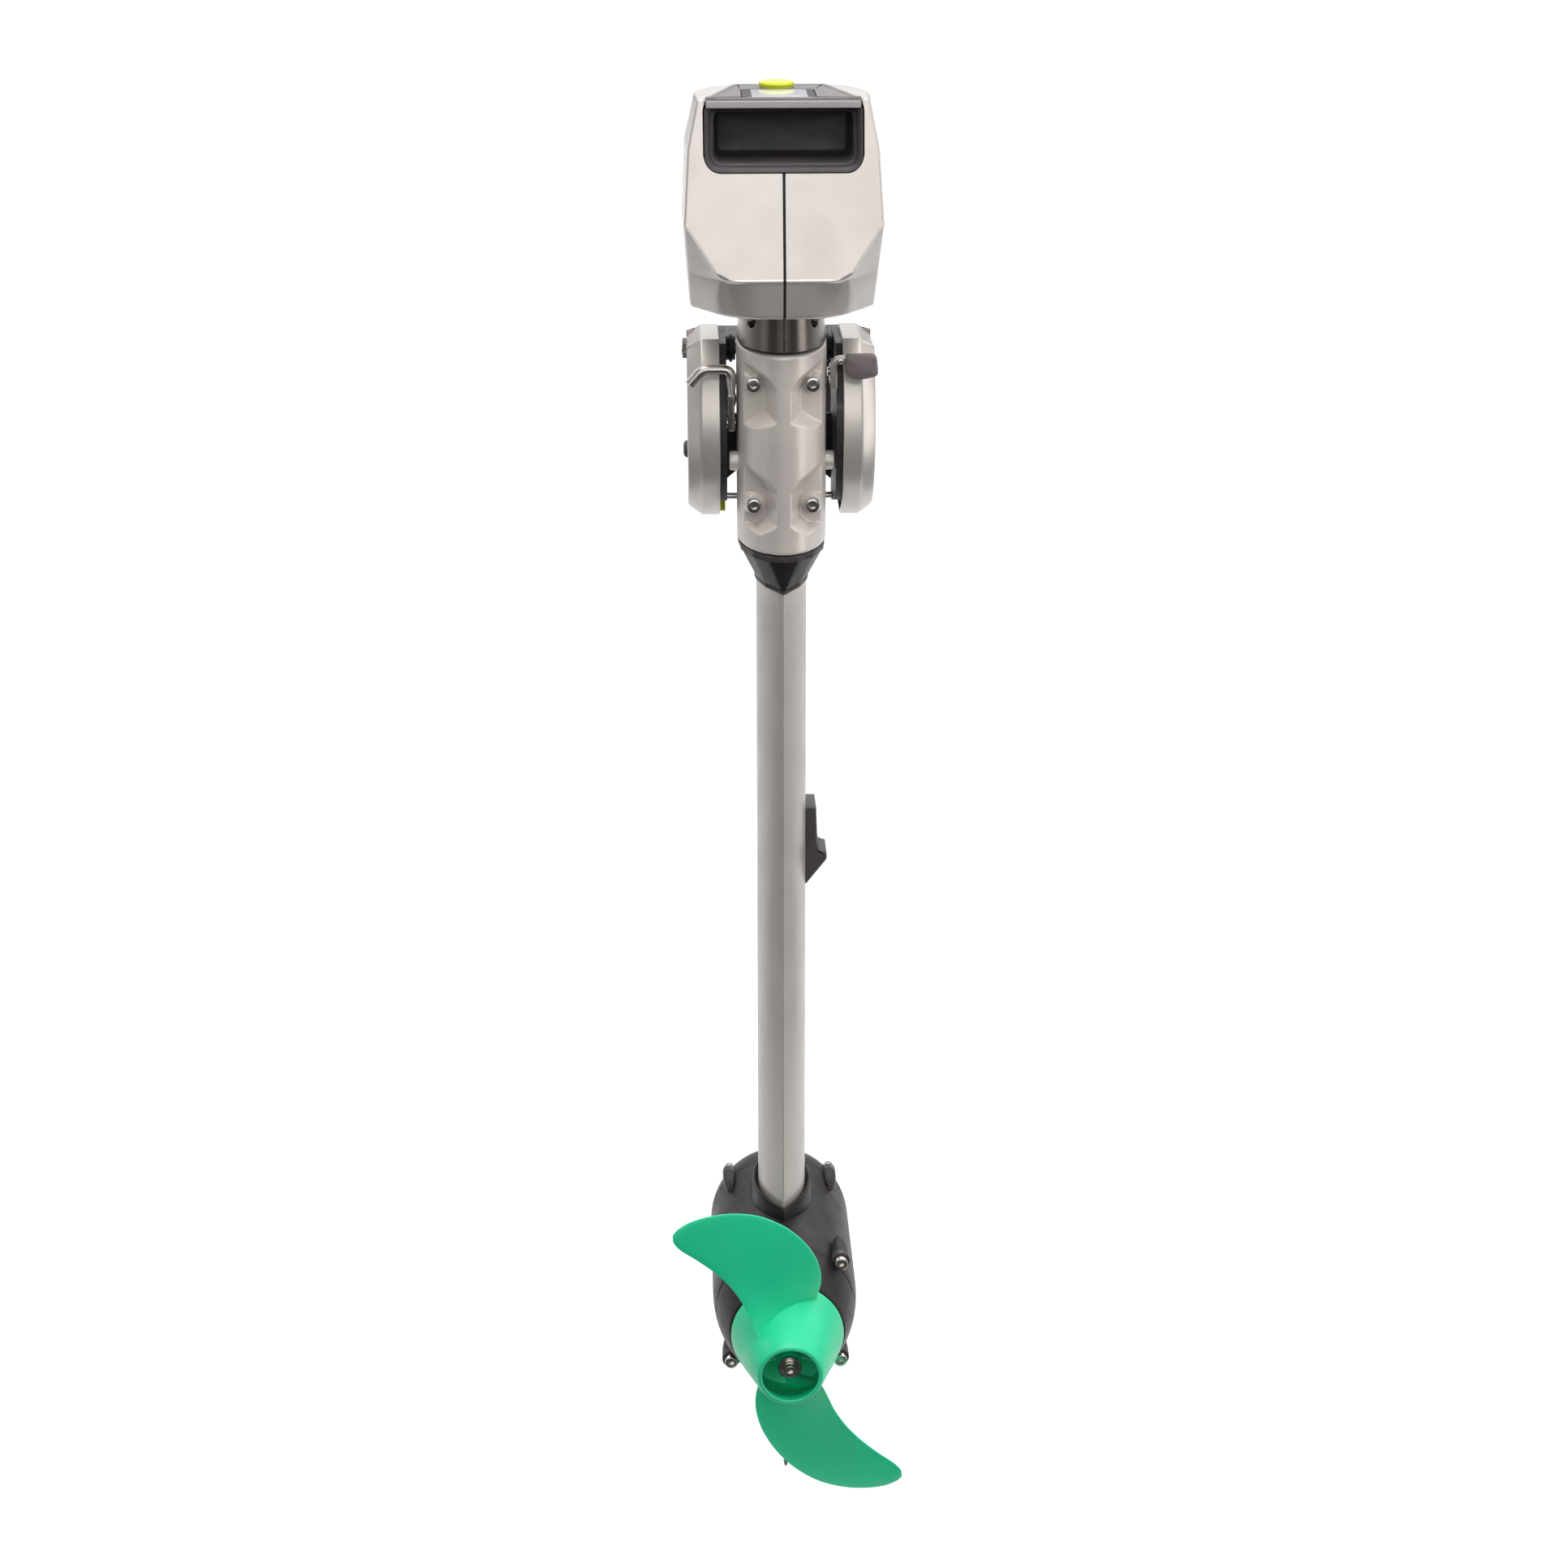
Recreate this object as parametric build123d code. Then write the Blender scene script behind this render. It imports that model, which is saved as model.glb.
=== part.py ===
from build123d import *
import math
import os

# Portable electric outboard motor (trolling motor) on a transom clamp bracket.
# Millimetres. +Y points forward, into the boat; +X to starboard; +Z up.
# Origin: on the seat that rests on the transom's top edge, on the centre plane.
os.makedirs("parts", exist_ok=True)

# ---- axes -------------------------------------------------------------------
STEER_Y = -100.0          # steering axis, aft of the origin
TILT_Y, TILT_Z = -55.0, 8.0
PROP_Z = -716.0           # propeller shaft's height

# ---- head -------------------------------------------------------------------
HEAD_BOTTOM, HEAD_TOP = 51.0, 198.0
HEAD_WALL_SCALE = 0.955   # inner skin's size as a share of the outer skin's
SEAM = 0.3                # half of the gap between left and right shells
# corners of half of the head in plan, (half width, distance aft), by height
HEAD_LEVELS = {
    51.0: ((25, 75), (43, 57), (65, 22), (66, -15), (52, -42), (30, -48)),
    78.0: ((25, 75), (43, 71), (67, 40), (68.5, -20), (55, -50), (30, -57)),
    115.0: ((25, 66.4), (50, 66.4), (69, 65.5), (71, -20), (58, -63), (30, -70)),
    165.0: ((25, 54.7), (50, 54.7), (66, 54), (69, -20), (54, -74), (28, -84)),
    198.0: ((25, 47), (48, 47), (59, 46.5), (62, -5), (44, -34), (25, -40)),
}
LINER_HALF, LINER_LOW, LINER_HIGH, LINER_FRONT = 55.0, 149.0, 193.3, -14.0
LINER_WALL, LINER_CORNER = 3.0, 12.0
DECK_LOW, DECK_HIGH = 193.3, 198.6
WINDOW_X, WINDOW_W, WINDOW_D, WINDOW_T = -2.5, 51.0, 49.0, 1.2
KEY_X, KEY_S, KEY_R, KEY_T = -2.5, -22.0, 12.5, 4.6
BUTTON_R, BUTTON_T = 9.0, 6.0

# ---- neck and swivel housing ------------------------------------------------
NECK_LOW, NECK_HALF = 24.5, 32.0
HOUSING_TOP, HOUSING_BOTTOM = 22.5, -122.0
HOUSING_HALF, HOUSING_AFT, HOUSING_FORE = 32.5, 60.0, 42.0
TUBE_R, TUBE_BORE, TUBE_TOP, TUBE_BOTTOM = 15.0, 12.0, 60.0, -662.0
BUSH_R, BUSH_LEN = 20.0, 15.0
HOUSING_BORE = 17.0
RUN_FIT = 0.05            # radial clearance of a running fit
POCKET_X, POCKET_FLOOR = 21.0, 38.0
POCKET_SCREW_Z = (-1.0, -89.0)
M6_SHANK, M6_HEAD, M6_HEAD_LEN, M6_KEY = 3.0, 5.0, 6.0, 5.0
LUG_S, LUG_Z, LUG_R, LUG_END = 8.0, -64.0, 7.0, 38.2

# ---- bracket ----------------------------------------------------------------
JAW_AFT, JAW_FORE, JAW_END = -30.0, 36.0, 50.0
ARM_IN, ARM_OUT = 39.5, 52.0
COVER_IN, COVER_FACET, COVER_OUT = 44.5, 58.0, 68.0
COVER_WALL, COVER_GAP = 3.0, 0.3
BRIDGE_T = 5.5
FOOT_Z, FOOT_SLOPE = -109.3, 0.26   # lower edge of the arms, rising towards the back
AXLE_R = 5.0
ROD_Y, ROD_Z, ROD_R = -50.0, -105.0, 2.5
CLAMP_X, CLAMP_Z = 46.0, -48.0
CLAMP_R, PAD_R, PAD_FACE = 5.0, 16.0, 24.0
LEFT_PIVOT = (12.0, -35.0)       # (distance aft, height) of the left lever's pivot
RIGHT_PIVOT = (-6.0, -2.0)
PIVOT_R = 3.5
HANDLE_S, HANDLE_Z, HANDLE_R = 18.0, 4.3, 3.6   # left lever's round handle
TONGUE = ((35, 62), (18, 22), (3, 14))           # right lever's tongue: x, distance aft, z

# ---- leg and pod ------------------------------------------------------------
COLLAR_TOP, COLLAR_BOTTOM = -122.4, -153.0
LEG_HALF, LEG_AFT, LEG_FORE, LEG_WALL = 18.5, 49.0, 45.0, 3.0
LEG_BOTTOM = -662.0
POD_R, POD_BORE = 56.0, 48.0
NOSE_TIP, NOSE_END, BODY_END, TAIL_END = -118.0, -51.0, 93.0, 129.5
BOSS_R, BOSS_AT = 7.0, 60.0      # corner bosses, on a circle of this radius
SKEG_TIP_Z = -855.0
SHAFT_R, SHAFT_FRONT, SHAFT_END = 6.0, -44.0, 178.0
BEARING_R, BEARING_T = 17.0, 10.0
SEAL_R, SEAL_T = 14.0, 8.0

# ---- propeller --------------------------------------------------------------
HUB_START, HUB_END = 130.2, 192.0
HUB_BASE_R, HUB_TIP_R, HUB_HOLE_R, HUB_BOSS_R = 43.0, 24.0, 21.0, 9.5
PITCH = 140.0             # advance per turn
BLADE_S = 151.0           # where the helix crosses the vertical, aft of the steering axis
BLADE_ROOT_T, BLADE_TIP_T = 7.0, 2.4
# blade outline seen along the shaft, (sideways towards the lagging side, outwards)
LEADING_EDGE = ((-18, 24), (-22, 36), (-25, 50), (-24, 63), (-19, 77), (-9, 92),
                (5, 105), (23, 114.7), (42, 118.6), (60, 118), (76, 114))
TRAILING_EDGE = ((86, 104), (82, 94), (68, 84), (55, 73), (44, 61), (35, 47), (30, 35), (24, 20))

# ---- tiller -----------------------------------------------------------------
TILLER_Y, TILLER_Z = 3.0, 143.0
KNUCKLE_R, KNUCKLE_HALF, PIN_R = 11.0, 7.7, 3.0
ARM_R, ARM_START, ARM_END = 12.0, 23.0, 108.0
SPINDLE_R, SPINDLE_END = 8.0, 214.0
GRIP_R, GRIP_START, GRIP_END = 15.5, 109.0, 222.0


def aft(s):
    """Y of a point that is s behind the steering axis."""
    return STEER_Y - s


def block(x, y, z):
    """Box between the given low and high x, y and z."""
    size = [abs(b - a) for a, b in (x, y, z)]
    mid = [(a + b) / 2 for a, b in (x, y, z)]
    return Pos(*mid) * Box(*size)


def rod_x(x0, x1, y, z, r):
    return Pos((x0 + x1) / 2, y, z) * Rot(0, 90, 0) * Cylinder(r, abs(x1 - x0))


def rod_y(y0, y1, x, z, r):
    return Pos(x, (y0 + y1) / 2, z) * Rot(90, 0, 0) * Cylinder(r, abs(y1 - y0))


def rod_z(z0, z1, x, y, r):
    return Pos(x, y, (z0 + z1) / 2) * Cylinder(r, abs(z1 - z0))


def hex_y(y0, y1, x, z, across):
    """Hexagonal prism along Y, for nuts and key sockets."""
    face = RegularPolygon(across / 2, 6, major_radius=False)
    return Pos(x, max(y0, y1), z) * Rot(90, 0, 0) * extrude(face, abs(y1 - y0))


def face_z(points, z):
    """Closed polygon in a horizontal plane at height z."""
    return Pos(0, 0, z) * make_face(Polyline(*points, close=True))


def prism_x(face, x0, x1):
    """A face drawn in the YZ plane, carried from x0 to x1."""
    return Pos(x0, 0, 0) * extrude(face, x1 - x0, dir=(1, 0, 0))


def poly_yz(points):
    """Closed polygon of (y, z) points in the plane x = 0."""
    return make_face(Polyline(*[(0, y, z) for y, z in points], close=True))


def poly_xz(points, y0, y1):
    """Closed polygon of (x, z) points, carried from y0 to y1."""
    face = make_face(Polyline(*[(x, y0, z) for x, z in points], close=True))
    return extrude(face, y1 - y0, dir=(0, 1, 0))


def oval(half, aft_len, fore_len, z):
    """Flat oval about the steering axis: one half ellipse aft, another forward."""
    centre = (0, STEER_Y)
    fore = EllipticalCenterArc(centre, half, fore_len, start_angle=0, arc_size=180)
    back = EllipticalCenterArc(centre, half, aft_len, start_angle=180, arc_size=180)
    return Pos(0, 0, z) * make_face([fore, back])


def leg_section(grow, z):
    """Streamlined section: rounded in front, two arcs to a sharp ridge behind."""
    half, tail, nose = LEG_HALF + grow, LEG_AFT + 1.6 * grow, LEG_FORE + grow
    radius = (tail * tail + half * half) / (2 * half)   # arc that leaves the side tangent
    mid = math.asin(tail / radius) / 2
    bulge = (half - radius * (1 - math.cos(mid)), aft(radius * math.sin(mid)))
    fore = EllipticalCenterArc((0, STEER_Y), half, nose, start_angle=0, arc_size=180)
    port = ThreePointArc((-half, STEER_Y), (-bulge[0], bulge[1]), (0, aft(tail)))
    starboard = ThreePointArc((0, aft(tail)), bulge, (half, STEER_Y))
    return Pos(0, 0, z) * make_face([fore, port, starboard])


def revolve_y(points):
    """Turn a closed outline of (distance aft, radius) points about the shaft."""
    face = make_face(Polyline(*[(0, aft(s), PROP_Z + r) for s, r in points], close=True))
    return revolve(face, Axis((0, 0, PROP_Z), (0, 1, 0)), 360)


def tube_y(s0, s1, outer, inner):
    """Ring along the shaft line between two distances aft."""
    ring = rod_y(aft(s1), aft(s0), 0, PROP_Z, outer)
    return ring - rod_y(aft(s1) - 1, aft(s0) + 1, 0, PROP_Z, inner)


def mirror_x(shape):
    return mirror(shape, Plane.YZ)


def socket_screw(x, z, seat, tip, direction):
    """Cap screw along Y: head beyond its seat, shank to its tip."""
    head_end = seat + direction * M6_HEAD_LEN
    screw = rod_y(seat, head_end, x, z, M6_HEAD) + rod_y(tip, seat, x, z, M6_SHANK)
    return screw - hex_y(head_end - direction * 3.0, head_end + direction, x, z, M6_KEY)


# ---- head -------------------------------------------------------------------
def head_corners(z):
    """Half outline at any height, straight between the levels given above."""
    levels = sorted(HEAD_LEVELS)
    low = max(v for v in levels if v <= z)
    high = min(v for v in levels if v >= z)
    t = 0.0 if high == low else (z - low) / (high - low)
    pairs = zip(HEAD_LEVELS[low], HEAD_LEVELS[high])
    return [(a[0] + t * (b[0] - a[0]), a[1] + t * (b[1] - a[1])) for a, b in pairs]


def head_half(scale, low, high):
    """Starboard half of the head as a solid, from low to high."""
    heights = [low] + [z for z in sorted(HEAD_LEVELS) if low < z < high] + [high]
    sections = []
    for z in heights:
        outline = [(scale * x, aft(scale * s)) for x, s in head_corners(z)]
        centre = [(SEAM, outline[-1][1]), (SEAM, outline[0][1])]
        sections.append(face_z(outline + centre, z))
    return loft(sections, ruled=True)


def liner_block(inset):
    """The carry handle's hollow as a block with rounded lower corners."""
    half = LINER_HALF - inset
    low, high = LINER_LOW + inset, LINER_HIGH - inset
    body = block((-half, half), (aft(120), aft(LINER_FRONT + inset)), (low, high))
    edges = body.edges().filter_by(Axis.Y).group_by(Axis.Z)[0]
    return fillet(edges, LINER_CORNER - inset)


def deck_prism(low, high):
    """Trapezoid top deck with the bar along its aft edge."""
    plate = extrude(face_z([(-52, aft(44)), (52, aft(44)), (33, aft(-37)), (-33, aft(-37))], low),
                    high - low)
    bar = block((-LINER_HALF, LINER_HALF), (aft(60), aft(42)), (low, high))
    return plate + bar


def button_at(offset):
    """Location on the sloping front of the head; offset is outwards along its normal."""
    rise, run = 33.0, 44.0
    length = math.hypot(rise, run)
    ny, nz = rise / length, run / length
    tilt = -math.degrees(math.atan2(rise, run))
    return Pos(0, -38 + ny * offset, 181.5 + nz * offset) * Rot(tilt, 0, 0)


def head_shells():
    outer = head_half(1.0, HEAD_BOTTOM, HEAD_TOP)
    inner = head_half(HEAD_WALL_SCALE, HEAD_BOTTOM + 3, HEAD_TOP - 3)
    inner += block((0, 5), (aft(60), aft(-36)), (HEAD_BOTTOM + 3, HEAD_TOP - 3))
    shell = outer - inner - liner_block(0) - deck_prism(DECK_LOW, DECK_HIGH + 5)
    shell -= button_at(0) * Cylinder(BUTTON_R + 0.4, 24)
    shell -= rod_z(HEAD_BOTTOM - 1, HEAD_BOTTOM + 4, 0, STEER_Y, TUBE_R)
    full = outer + mirror_x(outer) + block((-1, 1), (aft(46), aft(-39)), (HEAD_BOTTOM, HEAD_TOP))
    return shell, mirror_x(shell), full


def handle_liner():
    """Charcoal tub, flush with the sloping aft face of the shells."""
    wedge = make_face(Polyline((0, aft(75), 78), (0, aft(47), 198), (0, aft(-80), 198),
                               (0, aft(-80), 78), close=True))
    clip = prism_x(wedge, -80, 80)
    return (liner_block(0) & clip) - liner_block(LINER_WALL)


def deck_panel():
    deck = deck_prism(DECK_LOW, DECK_HIGH)
    cut = make_face(Polyline((0, aft(48.1), DECK_LOW), (0, aft(46.8), 200), (0, aft(70), 200),
                             (0, aft(70), DECK_LOW), close=True))
    deck -= prism_x(cut, -60, 60)
    deck -= window_block(DECK_HIGH - WINDOW_T, DECK_HIGH + 1)
    return deck - rod_z(DECK_HIGH - 1.2, DECK_HIGH + 1, KEY_X, aft(KEY_S), KEY_R + 0.5)


def window_block(low, high):
    half = WINDOW_W / 2
    return block((WINDOW_X - half, WINDOW_X + half), (aft(-8 + WINDOW_D), aft(-8)), (low, high))


def display_window():
    return window_block(DECK_HIGH - WINDOW_T, DECK_HIGH)


def stop_key():
    low = DECK_HIGH - 0.9
    disc = rod_z(low, low + KEY_T, KEY_X, aft(KEY_S), KEY_R)
    return fillet(disc.edges().group_by(Axis.Z)[-1], 0.8)


def power_button():
    return button_at(0) * Pos(0, 0, BUTTON_T / 2 - 4.2) * Cylinder(BUTTON_R, BUTTON_T)


def battery_pack():
    pack = block((-52, 52), (aft(46), aft(-40)), (84, 143))
    return fillet(pack.edges().filter_by(Axis.Z), 6)


def controller():
    """Motor controller: a board with a finned heat sink on it."""
    board = block((-44, 44), (aft(48), aft(-34)), (65, 68))
    for i in range(9):
        s = 40 - i * 8.5
        board += block((-38, 38), (aft(s), aft(s - 3)), (68, 80))
    return board


def neck_covers():
    top, bottom = HEAD_BOTTOM, NECK_LOW
    outer = loft([oval(NECK_HALF, 57, 38, bottom), oval(NECK_HALF - 1.5, 55, 37, top)])
    inner = loft([oval(NECK_HALF - 3, 54, 35, bottom - 1), oval(NECK_HALF - 4.5, 52, 34, top + 1)])
    ring = outer - inner
    for side in (-1, 1):
        ring -= rod_x(side * 15, side * 40, aft(38), 44, 5)
    right = ring & block((SEAM, 50), (aft(80), aft(-60)), (bottom - 5, top + 5))
    return right, mirror_x(right)


def steering_tube():
    """Tube from the head to the pod, with a flange that carries the head."""
    tube = rod_z(TUBE_BOTTOM, TUBE_TOP, 0, STEER_Y, TUBE_R)
    tube += rod_z(HEAD_BOTTOM + 3, TUBE_TOP, 0, STEER_Y, 24)
    return tube - rod_z(TUBE_BOTTOM - 1, TUBE_TOP + 1, 0, STEER_Y, TUBE_BORE)


# ---- swivel housing -----------------------------------------------------------
def pocket(points):
    """Starboard screw pocket, cut in from behind down to the screw seat."""
    return poly_xz(points, aft(80), aft(POCKET_FLOOR))


def housing_body():
    top, bottom = HOUSING_TOP, HOUSING_BOTTOM
    body = extrude(oval(HOUSING_HALF, HOUSING_AFT, HOUSING_FORE, bottom), top - bottom)
    body += rod_x(-31.8, 31.8, TILT_Y, TILT_Z, 12)
    body += block((-31.8, 31.8), (TILT_Y - 18, TILT_Y), (TILT_Z - 12, TILT_Z + 12))
    body += block((-15, 15), (aft(-38), ROD_Y - ROD_R - 0.3), (-113, -97))
    for side in (-1, 1):
        body += rod_x(side * 25, side * LUG_END, aft(LUG_S), LUG_Z, LUG_R)
    body -= rod_x(-60, 60, TILT_Y, TILT_Z, AXLE_R + RUN_FIT)
    body -= rod_z(bottom - 1, top + 1, 0, STEER_Y, HOUSING_BORE)
    for low in (top - BUSH_LEN, bottom):
        body -= rod_z(low, low + BUSH_LEN, 0, STEER_Y, BUSH_R)
    upper = ((12.5, -20), (12.5, -3), (16, 1), (28, 10), (40, 10), (40, -30), (28, -30))
    lower = ((12.5, -98), (12.5, -77), (16, -72), (28, -61), (40, -61), (40, -99), (28, -99),
             (20, -103))
    for z_screw, points in zip(POCKET_SCREW_Z, (upper, lower)):
        cut = pocket(points)
        body = body - cut - mirror_x(cut)
        for x in (-POCKET_X, POCKET_X):
            body -= rod_y(aft(POCKET_FLOOR), aft(-20), x, z_screw, M6_SHANK)
            body -= rod_y(aft(80), aft(POCKET_FLOOR), x, z_screw, M6_HEAD + 0.8)
    return body


def housing_halves():
    body = housing_body()
    rear = body & block((-60, 60), (aft(100), aft(0)), (-200, 60))
    front = body & block((-60, 60), (aft(0), aft(-80)), (-200, 60))
    return rear, front


def swivel_screws():
    group = []
    for z in POCKET_SCREW_Z:
        for x in (-POCKET_X, POCKET_X):
            group.append(socket_screw(x, z, aft(POCKET_FLOOR), aft(-20), -1))
    return Compound(children=group)


def bush(low):
    ring = rod_z(low, low + BUSH_LEN, 0, STEER_Y, BUSH_R)
    return ring - rod_z(low - 1, low + BUSH_LEN + 1, 0, STEER_Y, TUBE_R + RUN_FIT)


# ---- bracket ------------------------------------------------------------------
def arm_outline(inset):
    """D-shaped side of a bracket arm, straight in front and round behind."""
    top = Line((0, -34 - inset, 22 - inset), (0, -93, 22 - inset))
    upper = ThreePointArc((0, -93, 22 - inset), (0, -114 + 0.9 * inset, -10),
                          (0, -121.5 + inset, -47))
    lower = ThreePointArc((0, -121.5 + inset, -47), (0, -107 + 0.8 * inset, -90 + 0.6 * inset),
                          (0, -66, -115 + inset))
    foot = Line((0, -66, -115 + inset), (0, -34 - inset, -113 + inset))
    front = Line((0, -34 - inset, -113 + inset), (0, -34 - inset, 22 - inset))
    return make_face([top, upper, lower, foot, front])


def clamp_arm():
    """Starboard arm: D plate aft of the transom, a bar over it and the screw jaw."""
    inset = COVER_WALL + COVER_GAP
    arm = prism_x(arm_outline(inset), ARM_IN, ARM_OUT)
    arm += block((ARM_IN, ARM_OUT), (-60, JAW_AFT), (-96, 14))
    arm += prism_x(poly_yz([(-60, 0), (JAW_FORE, 0), (JAW_FORE, -70), (JAW_END, -70),
                            (JAW_END, 2), (JAW_END - 7, BRIDGE_T), (-60, BRIDGE_T)]),
                   ARM_IN, ARM_OUT)
    arm += rod_y(JAW_FORE, 62, CLAMP_X, CLAMP_Z, 11)
    arm -= rod_y(JAW_FORE - 1, 63, CLAMP_X, CLAMP_Z, CLAMP_R + RUN_FIT)
    arm -= rod_x(30, 60, TILT_Y, TILT_Z, AXLE_R)
    foot_y, back_y = ROD_Y + 2, ROD_Y - 75
    arm -= prism_x(poly_yz([(-20, FOOT_Z), (foot_y, FOOT_Z),
                            (back_y, FOOT_Z + (foot_y - back_y) * FOOT_SLOPE),
                            (back_y, -130), (-20, -130)]), ARM_IN - 1, ARM_OUT + 1)
    for y in (ROD_Y, ROD_Y - 14, ROD_Y - 28):
        arm -= rod_x(30, 60, y, ROD_Z + (ROD_Y - y) * (FOOT_SLOPE + 0.04), ROD_R)
    return arm


def tab_slot():
    """Room for the lime tab in the port arm, open below."""
    return block((-44.7, ARM_IN * -1 + 1), (ROD_Y - 8, ROD_Y + 8), (-130, ROD_Z + 6))


def arm_cover():
    """Starboard cover, a shell with a bevelled outer edge, open towards the arm."""
    face = arm_outline(0)
    cover = prism_x(face, COVER_IN, COVER_FACET)
    rim = offset(face, -7.5, kind=Kind.INTERSECTION)
    cover += loft([Pos(COVER_FACET, 0, 0) * face, Pos(COVER_OUT, 0, 0) * rim], ruled=True)
    cover -= prism_x(arm_outline(COVER_WALL), COVER_IN - 1, COVER_FACET)
    passage = block((ARM_IN, ARM_OUT + COVER_GAP), (-60, JAW_AFT), (-96.3, 14.3))
    return cover - passage - rod_x(30, 90, TILT_Y, TILT_Z, AXLE_R)


def bridge():
    """Seat between the arms, with the web that ties them behind the transom."""
    seat = block((-ARM_IN, ARM_IN), (JAW_AFT, JAW_END - 7), (0, BRIDGE_T))
    web = poly_xz([(-ARM_IN, -46), (ARM_IN, -46), (ARM_IN, -96), (30, -88), (-30, -88),
                   (-ARM_IN, -96)], JAW_AFT - 6, JAW_AFT)
    return seat, web


def axle():
    """Tilt bolt through both arms, its thread standing out to port."""
    return rod_x(-71.5, COVER_OUT - 4, TILT_Y, TILT_Z, AXLE_R)


def axle_nut(x0, x1):
    face = RegularPolygon(6.5, 6, major_radius=False)
    nut = Pos(min(x0, x1), TILT_Y, TILT_Z) * Rot(0, 90, 0) * extrude(face, abs(x1 - x0))
    return nut - rod_x(-80, 80, TILT_Y, TILT_Z, AXLE_R)


def tilt_spacers():
    group = []
    for side in (-1, 1):
        ring = rod_x(side * 32.2, side * ARM_IN, TILT_Y, TILT_Z, 9)
        ring += rod_x(side * 34.5, side * 36.5, TILT_Y, TILT_Z, 10.5)
        group.append(ring - rod_x(-60, 60, TILT_Y, TILT_Z, AXLE_R))
    return Compound(children=group)


def thrust_rod():
    return rod_x(-ARM_OUT, ARM_OUT, ROD_Y, ROD_Z, ROD_R)


def rod_tab():
    """Lime tab that turns on the thrust rod beside the port arm."""
    tab = rod_x(-44.2, -40.2, ROD_Y, ROD_Z, 4.5)
    tab += block((-44.2, -40.2), (ROD_Y - 4, ROD_Y + 4), (ROD_Z - 10.5, ROD_Z))
    return tab - rod_x(-50, -30, ROD_Y, ROD_Z, ROD_R + RUN_FIT)


def lock_dome():
    """Round cap on the port cover, level with the housing's lugs."""
    dome = rod_x(-COVER_OUT - 3.2, -COVER_OUT, -70, LUG_Z, 6.5)
    return fillet(dome.edges().group_by(Axis.X)[0], 2.4)


def lever_pivots():
    left = rod_x(-ARM_IN, -33.6, aft(LEFT_PIVOT[0]), LEFT_PIVOT[1], PIVOT_R)
    right = rod_x(ARM_IN, 33.6, aft(RIGHT_PIVOT[0]), RIGHT_PIVOT[1], PIVOT_R)
    return Compound(children=[left, right])


def left_lever():
    """Bent stainless bar: flat stem in the gap, round handle over the cover."""
    s, z = LEFT_PIVOT
    plate = poly_yz([(aft(s - 5), z - 5), (aft(s + 5), z - 5), (aft(HANDLE_S + 4), -12),
                     (aft(HANDLE_S + 4), -3), (aft(HANDLE_S - 4), -3), (aft(HANDLE_S - 4), -12),
                     (aft(s - 5), z + 5)])
    stem = prism_x(plate, -38.4, -34.2)
    y, x = aft(HANDLE_S), -36.3
    route = FilletPolyline((x, y, -4), (x, y, HANDLE_Z), (-57, y, HANDLE_Z), (-66.5, y, -6),
                           radius=5)
    profile = Plane(origin=(x, y, -4), z_dir=(0, 0, 1)) * Circle(HANDLE_R)
    handle = sweep(profile, path=route)
    side = block((-33.4, -30), (y - 5, y + 5), (-10, 10))
    return stem + (handle - side) - rod_x(-50, -30, aft(s), z, PIVOT_R + RUN_FIT)


def right_lever():
    """Flat stainless lever whose tongue carries the rubber grip."""
    s, z = RIGHT_PIVOT
    plate = poly_yz([(aft(s - 6), z - 6), (aft(22), z - 6), (aft(22), 15), (aft(14), 15),
                     (aft(s - 6), z + 8)])
    return prism_x(plate, 35, 39.1) + tongue() - rod_x(30, 50, aft(s), z, PIVOT_R + RUN_FIT)


def tongue():
    x, s, z = TONGUE
    return block(x, (aft(s[1]), aft(s[0])), z)


def right_lever_grip():
    grip = block((44.8, 69), (aft(24), aft(16)), (-2.5, 16))
    return fillet(grip.edges().filter_by(Axis.Y), 3.5) - tongue()


def clamp_pad():
    """Swivelling pad that presses on the transom; rest is fully open."""
    pad = rod_y(PAD_FACE, PAD_FACE + 5, CLAMP_X, CLAMP_Z, PAD_R)
    pad += rod_y(PAD_FACE + 5, PAD_FACE + 10, CLAMP_X, CLAMP_Z, 8)
    return pad - rod_y(PAD_FACE + 4, PAD_FACE + 11, CLAMP_X, CLAMP_Z, CLAMP_R + RUN_FIT)


def clamp_screw():
    """Clamp screw with its cast T handle."""
    start, hub = PAD_FACE + 4.2, 90.0
    screw = rod_y(start, hub, CLAMP_X, CLAMP_Z, CLAMP_R)
    screw += rod_y(hub - 6, hub + 8, CLAMP_X, CLAMP_Z, 8)
    wing = block((CLAMP_X - 4, CLAMP_X + 4), (hub - 2, hub + 5), (CLAMP_Z - 24, CLAMP_Z + 24))
    return screw + fillet(wing.edges().filter_by(Axis.Y), 3.0)


# ---- leg and pod ----------------------------------------------------------------
def collar():
    outer = loft([oval(31.8, 58.5, 40.5, COLLAR_TOP), leg_section_oval(COLLAR_BOTTOM)])
    outer -= rod_z(COLLAR_BOTTOM - 1, COLLAR_TOP + 1, 0, STEER_Y, TUBE_R)
    return outer


def leg_section_oval(z):
    """Slim oval that the collar narrows to, just outside the leg."""
    return oval(LEG_HALF + 1.2, LEG_AFT + 2, LEG_FORE + 1, z)


def leg_fairing():
    low, high = LEG_BOTTOM, COLLAR_BOTTOM - 0.2
    skin = extrude(leg_section(0, low), high - low)
    return skin - extrude(leg_section(-LEG_WALL, low - 1), high - low + 2)


def leg_hook():
    """Small hook on the starboard side, for coiled lines."""
    hook = poly_xz([(14, -333), (26.5, -333), (27.5, -362), (29.5, -370), (34.8, -370),
                    (34.8, -376.5), (19, -396), (14, -396)], aft(8), aft(-22))
    return hook - extrude(leg_section(0, -420), 120)


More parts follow.
